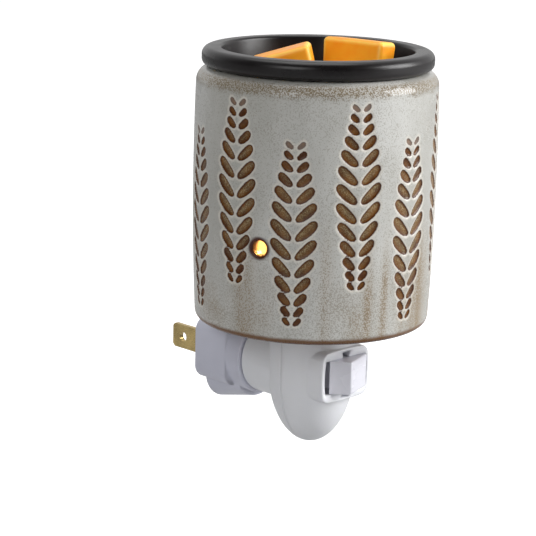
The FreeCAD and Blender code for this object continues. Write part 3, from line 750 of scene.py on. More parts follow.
@dataclass(frozen=True)
class Wax:
    """Orange wax: deeper colour mid-face, pale edges painted as a highlight, and a painted glow."""

    name: str = "orange_wax"
    deep: Colour = (0.92, 0.57, 0.08)
    body: Colour = (0.97, 0.66, 0.13)
    # Pale colour painted along the edges as a highlight
    edge: Colour = (1.0, 0.82, 0.38)
    clouds: float = 130.0
    cloud_range: Span = (0.3, 0.72)
    edge_highlight_range: Span = (0.80, 0.99)
    grain: float = 500.0
    grain_depth: float = 0.00003
    roughness: Span = (0.34, 0.46)
    # Emission that paints a glow over the wax, which is no lamp
    glow: float = 0.24
    glow_through: float = 0.35
    glow_reach: Point = (0.004, 0.002, 0.0006)

    def material(self) -> bpy.types.Material:
        """Build the material, reading how far a point lies from the block's middle each way.

        The middle one of the three distances is near 1 only along the block's edges.

        Returns:
            The material.
        """
        material, nodes, shader = new_material(self.name)
        away = [nodes.math("ABSOLUTE", nodes.stored(name)) for name in BLOCK_VALUES]
        most = nodes.larger(nodes.larger(away[0], away[1]), away[2])
        least = nodes.math("MINIMUM", nodes.math("MINIMUM", away[0], away[1]), away[2])
        total = nodes.plus(nodes.plus(away[0], away[1]), away[2])
        near_edge = nodes.minus(nodes.minus(total, most), least)
        cloud = nodes.ramp(nodes.noise(self.clouds, detail=4.0), *self.cloud_range)
        colour = nodes.mix(cloud, linear(self.deep), linear(self.body))
        # Paint the edges pale as a highlight
        colour = nodes.mix(nodes.ramp(near_edge, *self.edge_highlight_range), colour, linear(self.edge))
        grain = use_effect(nodes, Effect.GRAIN, Size=self.grain, Depth=self.grain_depth)
        # The emission paints a glow on the wax
        nodes.fill(shader, Base_Color=colour, Normal=grain["Normal"],
                   Roughness=nodes.ramp(cloud, 0.0, 1.0, *self.roughness),
                   Emission_Color=colour, Emission_Strength=self.glow, Subsurface_Weight=self.glow_through,
                   Subsurface_Radius=self.glow_reach, Subsurface_Scale=1.0)
        return material


@dataclass(frozen=True)
class Glaze:
    """Grey-white speckled glaze that pools brown in the pressed leaves and breaks brown at the edges.

    Heights are in metres. A leaf's edge is measured in millimetres, below 0 inside the leaf. A Span is
    where a change starts and is full, or what it goes from and to. A cover is how much a speck adds, and
    how much is there without one.
    """

    name: str = "speckled_glaze"
    # Colours
    pale: Colour = (0.800, 0.800, 0.785)
    grey: Colour = (0.700, 0.697, 0.675)
    speck: Colour = (0.45, 0.41, 0.33)
    band: Colour = (0.46, 0.38, 0.25)
    streak: Colour = (0.55, 0.44, 0.28)
    pool_dark: Colour = (0.29, 0.145, 0.03)
    pool_warm: Colour = (0.45, 0.28, 0.095)
    pool_pale: Colour = (0.66, 0.60, 0.45)
    foot: Colour = (0.41, 0.255, 0.085)
    halo: Colour = (0.90, 0.875, 0.83)
    burnt: Colour = (0.27, 0.12, 0.04)
    # Heights of the shade, then from its foot up and from its top down
    shade_low: float = 16.8 * MM
    shade_high: float = 95.4 * MM
    # Where the browning towards the foot, partly painted shade, starts and is full
    low_haze_and_shade_height: Span = (34.0 * MM, 2.0 * MM)
    foot_height: Span = (2.5 * MM, 1.3 * MM)
    lowest_height: Span = (1.2 * MM, 0.5 * MM)
    band_bottom: Span = (5.6 * MM, 3.0 * MM)
    band_top: Span = (0.2 * MM, 1.6 * MM)
    # Clouds and streaks of the ground
    clouds: float = 38.0
    cloud_stretch: Point = (1.0, 1.0, 0.35)
    cloud_range: Span = (0.34, 0.68)
    long_streaks: float = 260.0
    streak_stretch: Point = (1.0, 1.0, 0.12)
    streak_shift: Point = (3.1, 1.7, 0.4)
    streak_range: Span = (0.25, 0.58)
    streak_fray: Span = (0.5, 1.15)
    streak_cover: Span = (0.46, 0.36)
    # Brown haze towards the foot: partly the glaze's own brown, partly painted shade low on the wall
    haze: float = 60.0
    haze_range: Span = (0.45, 0.75)
    low_haze_and_shade_share: float = 0.80
    # Specks, band and foot
    specks: float = 2300.0
    speck_patches: float = 55.0
    speck_range: Span = (0.35, 0.75)
    speck_density: Span = (0.66, 0.86)
    speck_share: float = 0.36
    low_specks: float = 0.7
    brown_density: float = 0.30
    band_density: float = 0.26
    band_cover: Span = (0.60, 0.24)
    ragged: float = 240.0
    ragged_width: float = 3.0 * MM
    foot_ragged: float = 0.15
    foot_share: float = 0.94
    lowest_share: float = 0.60
    # Leaves
    waver: float = 1400.0
    waver_width: float = 0.35
    pool_edge: Span = (0.10, -0.16)
    halo_edge: Span = (0.95, 0.15)
    halo_share: float = 0.55
    faint_size: Span = (0.0, 0.18)
    faint_share: Span = (0.35, 1.0)
    pool_clouds: float = 320.0
    warm_edge: Span = (-0.10, -0.65)
    pale_edge: Span = (-0.15, -1.20)
    pale_size: Span = (0.40, 1.0)
    pale_side: Span = (-0.7, 0.55)
    pale_side_share: Span = (0.15, 1.0)
    pale_cover: Span = (0.50, 0.22)
    pool_specks: float = 2600.0
    pool_speck_amount: float = 0.90
    # Relief and shine
    waves: float = 170.0
    wave_height: float = 0.5
    pit_depth: float = 0.10
    step_edge: Span = (-0.30, 0.12)
    step_height: float = 0.8
    relief_depth: float = 0.20 * MM
    shine_patches: float = 90.0
    roughness: Span = (0.20, 0.32)
    speck_dulling: float = 0.10
    specular: float = 0.22
    coat: Span = (0.35, 0.2)
    pooled_coat: Span = (1.0, 0.25)
    coat_roughness: float = 0.12

    def material(self) -> bpy.types.Material:
        """Build the material from the values that are stored on the shade.

        Returns:
            The material.
        """
        material, nodes, shader = new_material(self.name)
        height = nodes.add("SeparateXYZ", Vector=nodes.place()).outputs["Z"]
        colour, specks, streaks_and_shade = self.ground(nodes, height)
        edge, size, rim = (nodes.stored(name) for name in (LEAF_EDGE, LEAF_SIZE, HOLE_RIM))
        halo = nodes.times(nodes.ramp(edge, *self.halo_edge), self.halo_share)
        colour = nodes.mix(halo, colour, linear(self.halo))
        wavering = nodes.plus(edge, nodes.swing(self.waver, self.waver_width, detail=3.0))
        in_leaf = nodes.ramp(wavering, *self.pool_edge)
        pooled = nodes.times(in_leaf, nodes.ramp(size, *self.faint_size, *self.faint_share))
        colour = nodes.mix(pooled, colour, self.pool(nodes, edge, size))
        colour = nodes.mix(rim, colour, linear(self.burnt))
        rough = nodes.ramp(nodes.noise(self.shine_patches, detail=3.0), *NOISE_RANGE, *self.roughness)
        coat = nodes.times(nodes.ramp(streaks_and_shade, 0.0, 1.0, *self.coat),
                           nodes.ramp(in_leaf, 0.0, 1.0, *self.pooled_coat))
        nodes.fill(shader, Base_Color=colour, Roughness=nodes.scaled(specks, self.speck_dulling, rough),
                   Normal=self.relief(nodes, edge, specks), Specular_IOR_Level=self.specular,
                   Coat_Weight=coat, Coat_Roughness=self.coat_roughness)
        return material

    def from_foot(self, nodes: Nodes, height: Socket, span: Span) -> Socket:
        """Change from 0 to 1 between two heights over the shade's foot."""
        return nodes.ramp(height, self.shade_low + span[0], self.shade_low + span[1])

    def from_top(self, nodes: Nodes, height: Socket, span: Span) -> Socket:
        """Change from 0 to 1 between two depths under the shade's top."""
        return nodes.ramp(height, self.shade_high - span[0], self.shade_high - span[1])

    def streaks_and_shade(self, nodes: Nodes, low_down: Socket) -> Socket:
        """Brown share, partly painted shade: the stored runs frayed by a long noise, and a haze low down.

        Args:
            nodes: the material's nodes.
            low_down: 0 on the upper wall and 1 at the foot.

        Returns:
            The share, 0 to a little over 1.
        """
        long_noise = nodes.noise(self.long_streaks, detail=4.0,
                                 vector=nodes.stretched(self.streak_stretch, self.streak_shift))
        frayed = nodes.ramp(long_noise, *self.streak_range, *self.streak_fray)
        runs = nodes.times(nodes.stored(GLAZE_RUN_AND_SHADE), frayed)
        # Browner and darker towards the foot: partly the glaze's own haze, partly painted shade
        haze = nodes.times(nodes.ramp(nodes.noise(self.haze, detail=5.0), *self.haze_range), low_down)
        return nodes.larger(runs, nodes.times(haze, self.low_haze_and_shade_share))

    def ground(self, nodes: Nodes, height: Socket) -> tuple[Socket, Socket, Socket]:
        """Colour the glaze between leaves: clouds, streaks, painted shade, the mouth's band, specks, foot.

        Args:
            nodes: the material's nodes.
            height: height over the origin.

        Returns:
            The colour, the specks' mask and the share of streaks and painted shade.
        """
        cloud = nodes.noise(self.clouds, vector=nodes.stretched(self.cloud_stretch), detail=5.0)
        colour = nodes.mix(nodes.ramp(cloud, *self.cloud_range), linear(self.pale), linear(self.grey))
        low_down = self.from_foot(nodes, height, self.low_haze_and_shade_height)
        streaks_and_shade = self.streaks_and_shade(nodes, low_down)
        ragged = nodes.swing(self.ragged, self.ragged_width, detail=6.0)
        band = nodes.times(self.from_top(nodes, nodes.plus(height, ragged), self.band_bottom),
                           self.from_top(nodes, height, self.band_top))
        density = nodes.ramp(nodes.noise(self.speck_patches), *self.speck_range, *self.speck_density)
        browner = nodes.larger(streaks_and_shade, nodes.times(low_down, self.low_specks))
        density = nodes.scaled(browner, self.brown_density, density)
        density = nodes.scaled(band, self.band_density, density)
        specks = use_effect(nodes, Effect.SPECKS, Size=self.specks, Amount=density)["Mask"]
        thick = nodes.math("MULTIPLY", streaks_and_shade, nodes.scaled(specks, *self.streak_cover), clamp=True)
        foot = self.from_foot(nodes, nodes.scaled(ragged, self.foot_ragged, height), self.foot_height)
        lowest = self.from_foot(nodes, height, self.lowest_height)
        for share, over in ((thick, self.streak),
                            (nodes.times(band, nodes.scaled(specks, *self.band_cover)), self.band),
                            (nodes.times(specks, self.speck_share), self.speck),
                            (nodes.times(foot, self.foot_share), self.foot),
                            (nodes.times(lowest, self.lowest_share), self.pool_dark)):
            colour = nodes.mix(share, colour, linear(over))
        return colour, specks, streaks_and_shade

    def pool(self, nodes: Nodes, edge: Socket, size: Socket) -> Socket:
        """Colour a leaf: dark round its edge, warm further in, pale specks in a large one's upper side.

        Args:
            nodes: the material's nodes.
            edge: distance from the leaf's edge.
            size: the leaf's share of full size.

        Returns:
            The colour.
        """
        dark = linear(self.pool_dark)
        cloudy = nodes.ramp(nodes.noise(self.pool_clouds, detail=4.0), *NOISE_RANGE)
        warm = nodes.mix(cloudy, dark, linear(self.pool_warm))
        colour = nodes.mix(nodes.ramp(edge, *self.warm_edge), dark, warm)
        middle = nodes.times(nodes.ramp(edge, *self.pale_edge), nodes.ramp(size, *self.pale_size))
        upper = nodes.ramp(nodes.stored(LEAF_SIDE), *self.pale_side, *self.pale_side_share)
        specks = use_effect(nodes, Effect.SPECKS, Size=self.pool_specks, Amount=self.pool_speck_amount)
        pale = nodes.times(nodes.times(middle, upper), nodes.scaled(specks["Mask"], *self.pale_cover))
        return nodes.mix(pale, colour, linear(self.pool_pale))

    def relief(self, nodes: Nodes, edge: Socket, specks: Socket) -> Socket:
        """Raise the glaze in soft waves, with small pits at the specks and a crisp step at a leaf's edge.

        Args:
            nodes: the material's nodes.
            edge: distance from the nearest leaf's edge.
            specks: the specks' mask.

        Returns:
            The normal.
        """
        waves = nodes.times(nodes.noise(self.waves, detail=3.0), self.wave_height)
        step = nodes.times(nodes.ramp(edge, *self.step_edge), self.step_height)
        height = nodes.plus(nodes.scaled(specks, -self.pit_depth, waves), step)
        return nodes.add("Bump", Height=height, Distance=self.relief_depth, Strength=1.0).outputs["Normal"]


PLASTICS = (
    Plastic("white_plastic", (0.900, 0.905, 0.922), -0.02, 0.36, 1100.0, 0.000008, 0.12),
    Plastic("rocker_plastic", (0.88, 0.88, 0.915), -0.02, 0.30, 1500.0, 0.000005),
    Plastic("plug_plastic", (0.805, 0.81, 0.865), -0.02, 0.40, 1000.0),
    Plastic("washer_nylon", (0.88, 0.87, 0.82), -0.04, 0.45),
    Plastic("base_plastic", (0.20, 0.185, 0.18), 0.05, 0.45, 800.0),
    Plastic("plunger_plastic", (0.85, 0.83, 0.78), -0.04),
    Plastic("nut_plastic", (0.24, 0.23, 0.23), 0.05, 0.42, 700.0),
    Plastic("gasket_rubber", (0.17, 0.17, 0.17), 0.05, 0.6, 1400.0, 0.00002),
    Plastic("insulator_black", (0.10, 0.10, 0.11), 0.04, 0.15, 600.0, 0.000004),
    Plastic("lead_black", (0.13, 0.13, 0.13), 0.04),
    Plastic("lead_white", (0.86, 0.86, 0.84), -0.04),
    Plastic("lead_brown", (0.42, 0.26, 0.17), -0.04),
)

METALS = (
    Metal("blade_brass", (0.86, 0.76, 0.52), 0.28),
    Metal("contact_brass", (0.85, 0.70, 0.45), 0.35),
    Metal("spring_steel", (0.74, 0.745, 0.755)),
    Metal("cap_brass", (0.83, 0.80, 0.72), 0.26),
    Metal("tip_solder", (0.72, 0.72, 0.71), 0.42),
)

FINISHES = {
    "dish_silicone": Silicone(),
    "orange_wax": Wax(),
    "ceramic_glaze": Glaze(),
    "bulb_glass": Glass("bulb_glass", (1.0, 0.80, 0.52), 0.30, 1.6),
    "filament_wire": HotWire("filament_wire", (1.0, 0.62, 0.28), 30.0),
    **{finish.name: finish for finish in PLASTICS + METALS},
}


@dataclass
class Wardrobe:
    """Materials by the record's slot names, each made when first worn."""

    made: dict[str, bpy.types.Material] = field(default_factory=dict)

    def wear(self, piece: bpy.types.Object, slot: str) -> None:
        """Give a piece the material of a slot.

        Args:
            piece: the object to dress.
            slot: name of the record's material slot.
        """
        if slot not in self.made:
            self.made[slot] = FINISHES[slot].material()
        piece.data.materials.clear()
        piece.data.materials.append(self.made[slot])

    def fit(self, piece: bpy.types.Object, body: str, slot: str, *nodes: str) -> bpy.types.Object:
        """Dress a new piece, seat it on its body and let it stand for its solids.

        Args:
            piece: the new object.
            body: the body that it moves with.
            slot: name of the record's material slot.
            nodes: the solids that it stands for.

        Returns:
            The same object.
        """
        self.wear(piece, slot)
        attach(piece, body)
        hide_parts(*nodes)
        log.info("%s: %d faces on %s", piece.name, len(piece.data.polygons), body)
        return piece


@dataclass
class Stems:
    """Leafy stems pressed into the shade, every other one set higher.

    Lengths are in millimetres and angles in degrees. A leaf's share of full size is 0 to 1.
    """

    count: int = 12
    middle_azimuth: float = -54.35
    pitch: float = 29.6
    pairs: int = 13
    low_top: float = 77.2
    high_top: float = 88.35
    least_step: float = 2.94
    step_growth: float = 2.76
    step_power: float = 1.48
    step_skew: float = 1.15
    top_angle: float = 40.0
    bottom_angle: float = 47.0
    inner_gap: float = 0.36
    tucked: float = 0.25
    least_length: float = 3.1
    length_growth: float = 5.5
    length_power: float = 2.2
    least_width: float = 1.45
    width_growth: float = 1.9
    size_before: float = 0.6
    size_after: float = 0.4
    size_skew: float = 1.06
    bluntness: float = 2.3
    plumpness: float = 0.12
    plump_reach: float = 1.3
    bend: float = 0.14
    bend_reach: float = 1.4
    bend_level: float = 0.4
    far: float = 1e3
    tiny: float = 1e-4

    def drops(self) -> np.ndarray:
        """Add up the steps from pair to pair, each least + growth sin(pi share)^power.

        Returns:
            How far each pair lies under the top one.
        """
        share = ((np.arange(self.pairs - 1) + 0.5) / (self.pairs - 1)) ** self.step_skew
        steps = self.least_step + self.step_growth * np.sin(np.pi * share) ** self.step_power
        return np.concatenate([[0.0], np.cumsum(steps)])

    def field(self, azimuth: np.ndarray, height: np.ndarray, radius: float) -> tuple[np.ndarray, ...]:
        """Measure each point against the nearest leaf.

        Args:
            azimuth: angle from the front, for each point.
            height: height of each point.
            radius: radius on which the leaves are laid out.

        Returns:
            The distance from the leaf's edge, below 0 inside it, the leaf's share of full size, and the
            way across the leaf from -1 below to 1 above.
        """
        first = -(self.count // 2)
        seam = first * self.pitch - (360.0 - (self.count - 1) * self.pitch) / 2
        away = (azimuth - self.middle_azimuth - seam) % 360.0 + seam
        number = np.clip(np.round(away / self.pitch), first, first + self.count - 1)
        across = np.abs(np.radians(away - number * self.pitch)) * radius
        top = np.where(number.astype(int) % 2 == 0, self.low_top, self.high_top)
        best = np.full(azimuth.shape, self.far)
        size = np.zeros(azimuth.shape)
        side = np.zeros(azimuth.shape)
        for pair, drop in enumerate(self.drops()):
            along = (pair + self.size_before) / (self.pairs + self.size_after)
            share = math.sin(math.pi * along ** self.size_skew)
            distance, beside = self.leaf(across, height - top + drop, pair / (self.pairs - 1), share)
            nearer = distance < best
            size = np.where(nearer, share, size)
            side = np.where(nearer, np.clip(beside, -1, 1), side)
            best = np.minimum(best, distance)
        return best, size, side

    def leaf(self, across: np.ndarray, up: np.ndarray, down_stem: float,
             share: float) -> tuple[np.ndarray, np.ndarray]:
        """Measure each point against one leaf.

        The edge is |s|^k + |n / (b (1 + p s))|^k = 1, where s runs along the leaf from -1 at its inner
        end to 1, n is the way across it from a middle line that bends up at both ends, b its half width,
        p how much plumper its outer end is and k how blunt its ends are.

        Args:
            across: way from the stem's middle line, for each point.
            up: height over the leaf's middle.
            down_stem: 0 for the top pair and 1 for the bottom pair.
            share: the leaf's share of full size.

        Returns:
            The distance from the edge, below 0 inside the leaf, and the way across in half widths.
        """
        angle = math.radians(self.top_angle + (self.bottom_angle - self.top_angle) * down_stem)
        half_length = (self.least_length + self.length_growth * share ** self.length_power) / 2
        half_width = (self.least_width + self.width_growth * share) / 2
        x = across - self.inner_gap - half_length * math.cos(angle) - self.tucked * half_width
        along = (x * math.cos(angle) + up * math.sin(angle)) / half_length
        bent = np.clip(along, -self.bend_reach, self.bend_reach) ** 2 - self.bend_level
        beside = up * math.cos(angle) - x * math.sin(angle) - self.bend * half_width * bent
        width = half_width * (1.0 + self.plumpness * np.clip(along, -self.plump_reach, self.plump_reach))
        k = self.bluntness
        s, n = np.abs(along) + self.tiny, np.abs(beside / width) + self.tiny
        q = (s ** k + n ** k) ** (1 / k)
        slope = np.hypot(s ** (k - 1) / half_length, n ** (k - 1) / width) / q ** (k - 1)
        return (q - 1.0) / slope, beside / width


@dataclass(frozen=True)
class Run:
    """One brown run in the glaze: where it is, how wide, how far up it starts and how brown it is."""

    azimuth: float
    width: float
    top: float
    strength: float


@dataclass
class Shade:
    """Glazed ceramic shade with its pressed stems and its light hole. Lengths in millimetres."""

    wardrobe: Wardrobe
    stems: Stems = field(default_factory=Stems)
    bottom_radius: float = 36.4
    middle_radius: float = 37.57
    top_radius: float = 37.2
    wall: float = 4.0
    foot_edge: float = 2.0
    foot_height: float = 1.5
    foot_radius: float = 30.2
    foot_flare: float = 0.8
    foot_fillet: float = 0.4
    foot_rounding: float = 0.3
    shoulder: float = 4.6
    mouth_radius: float = 32.4
    mouth_height: float = 2.0
    mouth_rounding: float = 0.15
    drawn_height: float = 8.0
    floor_thickness: float = 4.0
    floor_fillet: float = 2.6
    straight: float = 3.0
    centre_hole: float = 9.2
    columns: int = 420
    wall_rows: int = 124
    arc_rows: int = 7
    mouth_rows: int = 4
    crown_rows: int = 12
    upper_rows: int = 12
    lower_rows: int = 6
    window: int = 9
    hole_radius: float = 2.3
    hole_edge: float = 0.7
    hole_height: float = 28.8
    hole_azimuth: float = -70.5
    hole_rings: int = 7
    edge_rings: int = 6
    burnt_start: float = 1.6
    burnt_full: float = 0.8
    burnt_depth: float = 3.0
    press_depth: float = 0.5
    press_start: float = 0.30
    press_full: float = -0.50
    pressed_size: float = 0.25
    skin: float = 0.05
    no_leaf: float = 10.0
    run_fade: float = 24.0
    # Brown runs in the glaze; the one at -78 degrees is partly a run, partly painted shade low on the left
    runs: tuple[Run, ...] = (
        Run(-78.0, 6.5, 56.0, 0.70), Run(-39.0, 3.0, 62.0, 0.5), Run(-18.5, 3.0, 52.0, 0.85),
        Run(-9.5, 2.4, 56.0, 0.8), Run(2.0, 3.8, 50.0, 0.6), Run(15.0, 9.0, 58.0, 1.0),
        Run(38.0, 5.0, 50.0, 0.6), Run(64.0, 4.0, 66.0, 0.7), Run(92.0, 6.0, 44.0, 0.8),
        Run(121.0, 3.5, 60.0, 0.6), Run(150.0, 8.0, 52.0, 0.8), Run(-171.0, 4.0, 62.0, 0.6),
        Run(-140.0, 6.0, 48.0, 0.8), Run(-112.0, 3.0, 36.0, 0.4))
    axis: Vector = field(init=False)
    bottom: float = field(init=False)
    top: float = field(init=False)

    def __post_init__(self) -> None:
        """Take the shade's place from its solid."""
        low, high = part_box("shade")
        self.axis = middle_line(low, high)
        self.bottom = low.z / MM
        self.top = high.z / MM

    def outer(self, height: np.ndarray) -> np.ndarray:
        """Bulge the outer wall: a parabola through the bottom, middle and top radii.

        Args:
            height: height of each point.

        Returns:
            Radius of the outer wall there.
        """
        t = (height - self.bottom) / (self.top - self.shoulder - self.bottom)
        return (self.bottom_radius * (1 - t) * (1 - 2 * t) + 4 * self.middle_radius * t * (1 - t)
                + self.top_radius * t * (2 * t - 1))

    def inner(self, height: np.ndarray) -> np.ndarray:
        """Radius of the inner wall, drawn in to the mouth near the top."""
        drawn = smooth_step(self.top - self.drawn_height, self.top - self.mouth_height, height)
        return (self.outer(height) - self.wall) * (1 - drawn) + self.mouth_radius * drawn

    def profile(self) -> tuple[np.ndarray, tuple[int, int]]:
        """Draw the closed profile from the floor's hole out, up the wall, over the mouth and down inside.

        Returns:
            Points of radius and height, and the rows at which the outer and the inner window start.
        """
        floor = self.bottom + self.foot_height
        floor_top = floor + self.floor_thickness
        shoulder_z = self.top - self.shoulder
        foot = rounded([(self.centre_hole, floor, 0), (self.foot_radius, floor, self.foot_fillet),
                        (self.foot_radius + self.foot_flare, self.bottom, self.foot_rounding),
                        (self.bottom_radius, self.bottom, self.foot_edge),
                        (self.bottom_radius, self.bottom + 2 * self.foot_edge, 0)], self.arc_rows)[:-1]
        heights = np.linspace(self.bottom + self.foot_edge + self.foot_rounding, shoulder_z, self.wall_rows)
        outer = np.stack([self.outer(heights), heights], axis=1)
        turn = np.linspace(0, np.pi / 2, self.crown_rows)[1:, None]
        crown = np.concatenate([self.top_radius - self.shoulder * (1 - np.cos(turn)),
                                shoulder_z + self.shoulder * np.sin(turn)], axis=1)
        lip = rounded([(crown[-1, 0], self.top, 0), (self.mouth_radius, self.top, self.mouth_rounding),
                       (self.mouth_radius, self.top - self.mouth_height, 0)], self.mouth_rows)[1:]
        first = int(np.argmin(np.abs(heights - self.bottom - self.hole_height))) - self.window
        window_heights = heights[first:first + 2 * self.window + 1]
        above = np.linspace(self.top - self.straight, window_heights[-1], self.upper_rows)[:-1]
        below = np.linspace(window_heights[0], floor_top + self.straight, self.lower_rows)[1:]
        inside = np.concatenate([above, window_heights[::-1], below])
        inner = np.stack([self.inner(inside), inside], axis=1)
        base = rounded([(inner[-1, 0], inner[-1, 1], 0), (inner[-1, 0], floor_top, self.floor_fillet),
                        (self.centre_hole, floor_top, 0)], self.arc_rows)[1:]
        starts = len(foot) + first, len(foot) + len(outer) + len(crown) + len(lip) + len(above)
        return np.concatenate([foot, outer, crown, lip, inner, base]), starts

    def build(self) -> bpy.types.Object:
        """Make the shade, leave a window in both walls and close it with the light hole's funnel.

        Returns:
            The dressed piece.
        """
        profile, starts = self.profile()
        azimuth = bearings(self.columns, self.hole_azimuth - 180.0)
        points = turned(profile * MM, self.axis, azimuth)
        quads = lattice(len(profile), self.columns, wrap_rows=True)
        middle = self.columns // 2
        keep = np.ones(quads.shape[:2], bool)
        for start in starts:
            keep[start:start + 2 * self.window, middle - self.window:middle + self.window] = False
        funnel, funnel_quads = self.funnel(profile, starts, azimuth)
        piece = make_piece("shade_glazed", np.concatenate([points.reshape(-1, 3), funnel]),
                           np.concatenate([quads[keep], funnel_quads]))
        self.press(piece)
        return self.wardrobe.fit(piece, "housing", "ceramic_glaze", "shade")

    def funnel(self, profile: np.ndarray, starts: tuple[int, int],
               azimuth: np.ndarray) -> tuple[np.ndarray, np.ndarray]:
        """Join the windows by rings: in to the round hole, over its edge, through the wall and out again.

        A ring's point lies its radius from the hole's middle, at the bearing of the window's point that
        it belongs to, and its depth inside the outer wall.

        Args:
            profile: the shade's profile.
            starts: first rows of the two windows.
            azimuth: angle of each column in degrees.

        Returns:
            The new points, numbered on from the wall's, and the quads of the rings.
        """
        w = self.window
        steps, turn = np.arange(-w, w + 1), np.arange(1 - w, w)
        column = self.columns // 2 + np.concatenate([steps, 0 * turn + w, steps[::-1], 0 * turn - w])
        level = np.concatenate([0 * steps - w, turn, 0 * steps + w, turn[::-1]])
        outer_row, inner_row = starts[0] + w + level, starts[1] + w - level
        centre = self.bottom + self.hole_height
        across = np.radians(azimuth[column] - self.hole_azimuth) * self.middle_radius
        up = profile[outer_row, 1] - centre
        bearing, reach = np.arctan2(up, across), np.hypot(across, up)
        share = np.linspace(0, 1, self.hole_rings)[1:-1, None]
        flare = np.linspace(0, np.pi / 2, self.edge_rings)[:, None]
        wide = self.hole_radius + self.hole_edge
        ring = np.concatenate([
            reach + (wide - reach) * share, wide - self.hole_edge * np.sin(flare) + 0 * reach,
            self.hole_radius + 0 * reach[None], self.hole_radius + 0 * reach[None],
            self.hole_radius + (reach - self.hole_radius) * share])
        depth = np.concatenate([
            0 * share, self.hole_edge * (1 - np.cos(flare)), np.array([[self.wall / 2], [self.wall]]),
            self.wall + 0 * share])
        z = centre + ring * np.sin(bearing)
        a = np.radians(self.hole_azimuth) + ring * np.cos(bearing) / self.middle_radius
        r = self.outer(z) - depth
        points = np.stack([self.axis.x + r * MM * np.sin(a), self.axis.y - r * MM * np.cos(a), z * MM],
                          axis=-1)
        new = len(profile) * self.columns + np.arange(ring.size).reshape(ring.shape)
        rings = np.concatenate([(outer_row * self.columns + column)[None], new,
                                (inner_row * self.columns + column)[None]])
        onward = np.roll(rings, -1, axis=1)
        quads = np.stack([rings[:-1], onward[:-1], onward[1:], rings[1:]], axis=-1)
        return points.reshape(-1, 3), quads.reshape(-1, 4)

    def press(self, piece: bpy.types.Object) -> None:
        """Press the leaves into the outer wall and store what the glaze reads.

        Args:
            piece: the shade.
        """
        spots = places(piece)
        middle = np.array(self.axis)
        x, y, z = (spots - middle).T / MM
        radius = np.hypot(x, y)
        azimuth = np.degrees(np.arctan2(x, -y))
        edge, size, side = self.stems.field(azimuth, z, self.middle_radius)
        outside = radius > self.outer(z) - self.skin
        depth = (self.press_depth * smooth_step(self.press_start, self.press_full, edge)
                 * smooth_step(0.0, self.pressed_size, size) * outside)
        scale = 1.0 - depth / np.maximum(radius, 1.0)
        spots[:, :2] = middle[:2] + (spots - middle)[:, :2] * scale[:, None]
        piece.data.vertices.foreach_set("co", spots.reshape(-1))
        piece.data.update()
        wide = np.radians((azimuth - self.hole_azimuth + 180.0) % 360.0 - 180.0) * radius
        away = np.hypot(wide, z - self.bottom - self.hole_height) - self.hole_radius
        in_reach = radius > self.middle_radius - self.burnt_depth
        burnt = smooth_step(self.burnt_start, self.burnt_full, away) * in_reach
        for name, values in ((GLAZE_RUN_AND_SHADE, self.run_strength(azimuth, z)), (HOLE_RIM, burnt),
                             (LEAF_EDGE, np.where(outside, edge, self.no_leaf)), (LEAF_SIZE, size),
                             (LEAF_SIDE, side)):
            add_values(piece, name, values)

    def run_strength(self, azimuth: np.ndarray, height: np.ndarray) -> np.ndarray:
        """Work out the brown runs: for each, exp(-(angle from it / width)^2), fading in downwards.

        Args:
            azimuth: angle from the front in degrees, for each point.
            height: height of each point.

        Returns:
            Strength of the strongest run at each point, 0 to 1.
        """
        total = np.zeros(azimuth.shape)
        for run in self.runs:
            away = (azimuth - run.azimuth + 180.0) % 360.0 - 180.0
            fade = smooth_step(run.top, run.top - self.run_fade, height)
            total = np.maximum(total, run.strength * fade * np.exp(-(away / run.width) ** 2))
        return total


@dataclass
class Dish:
    """Soft dark dish with a thick rolled rim, and the wax that lies in it. Lengths in millimetres."""

    wardrobe: Wardrobe
    rim_radius: float = 35.6
    rim_height: float = 5.6
    rim_round: float = 2.4
    under_round: float = 1.9
    inner_radius: float = 29.6
    inner_round: float = 1.1
    taper: float = 2.6
    depth: float = 18.9
    floor_thickness: float = 2.2
    floor_fillet: float = 4.0
    neck_radius: float = 31.8
    neck_fillet: float = 0.3
    under_taper: float = 3.4
    base_round: float = 1.5
    arc_rows: int = 14
    columns: int = 192
    axis: Vector = field(init=False)
    top: float = field(init=False)

    def __post_init__(self) -> None:
        """Take the dish's place from its solid."""
        low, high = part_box("dish")
        self.axis = middle_line(low, high)
        self.top = high.z / MM

    def build(self) -> bpy.types.Object:
        """Turn the dish's profile, from the middle of its under side out, over the rim and back in.

        Returns:
            The dressed piece.
        """
        seat = self.top - self.rim_height
        floor = self.top - self.depth
        under = floor - self.floor_thickness
        profile = rounded([
            (0, under, 0), (self.neck_radius - self.under_taper, under, self.base_round),
            (self.neck_radius, seat, self.neck_fillet), (self.rim_radius, seat, self.under_round),
            (self.rim_radius, self.top, self.rim_round), (self.inner_radius, self.top, self.inner_round),
            (self.inner_radius - self.taper, floor, self.floor_fillet), (0, floor, 0)], self.arc_rows)
        points = turned(profile * MM, self.axis, bearings(self.columns))
        piece = make_piece("dish_soft", points, lattice(len(profile), self.columns))
        return self.wardrobe.fit(piece, "dish", "dish_silicone", "dish")


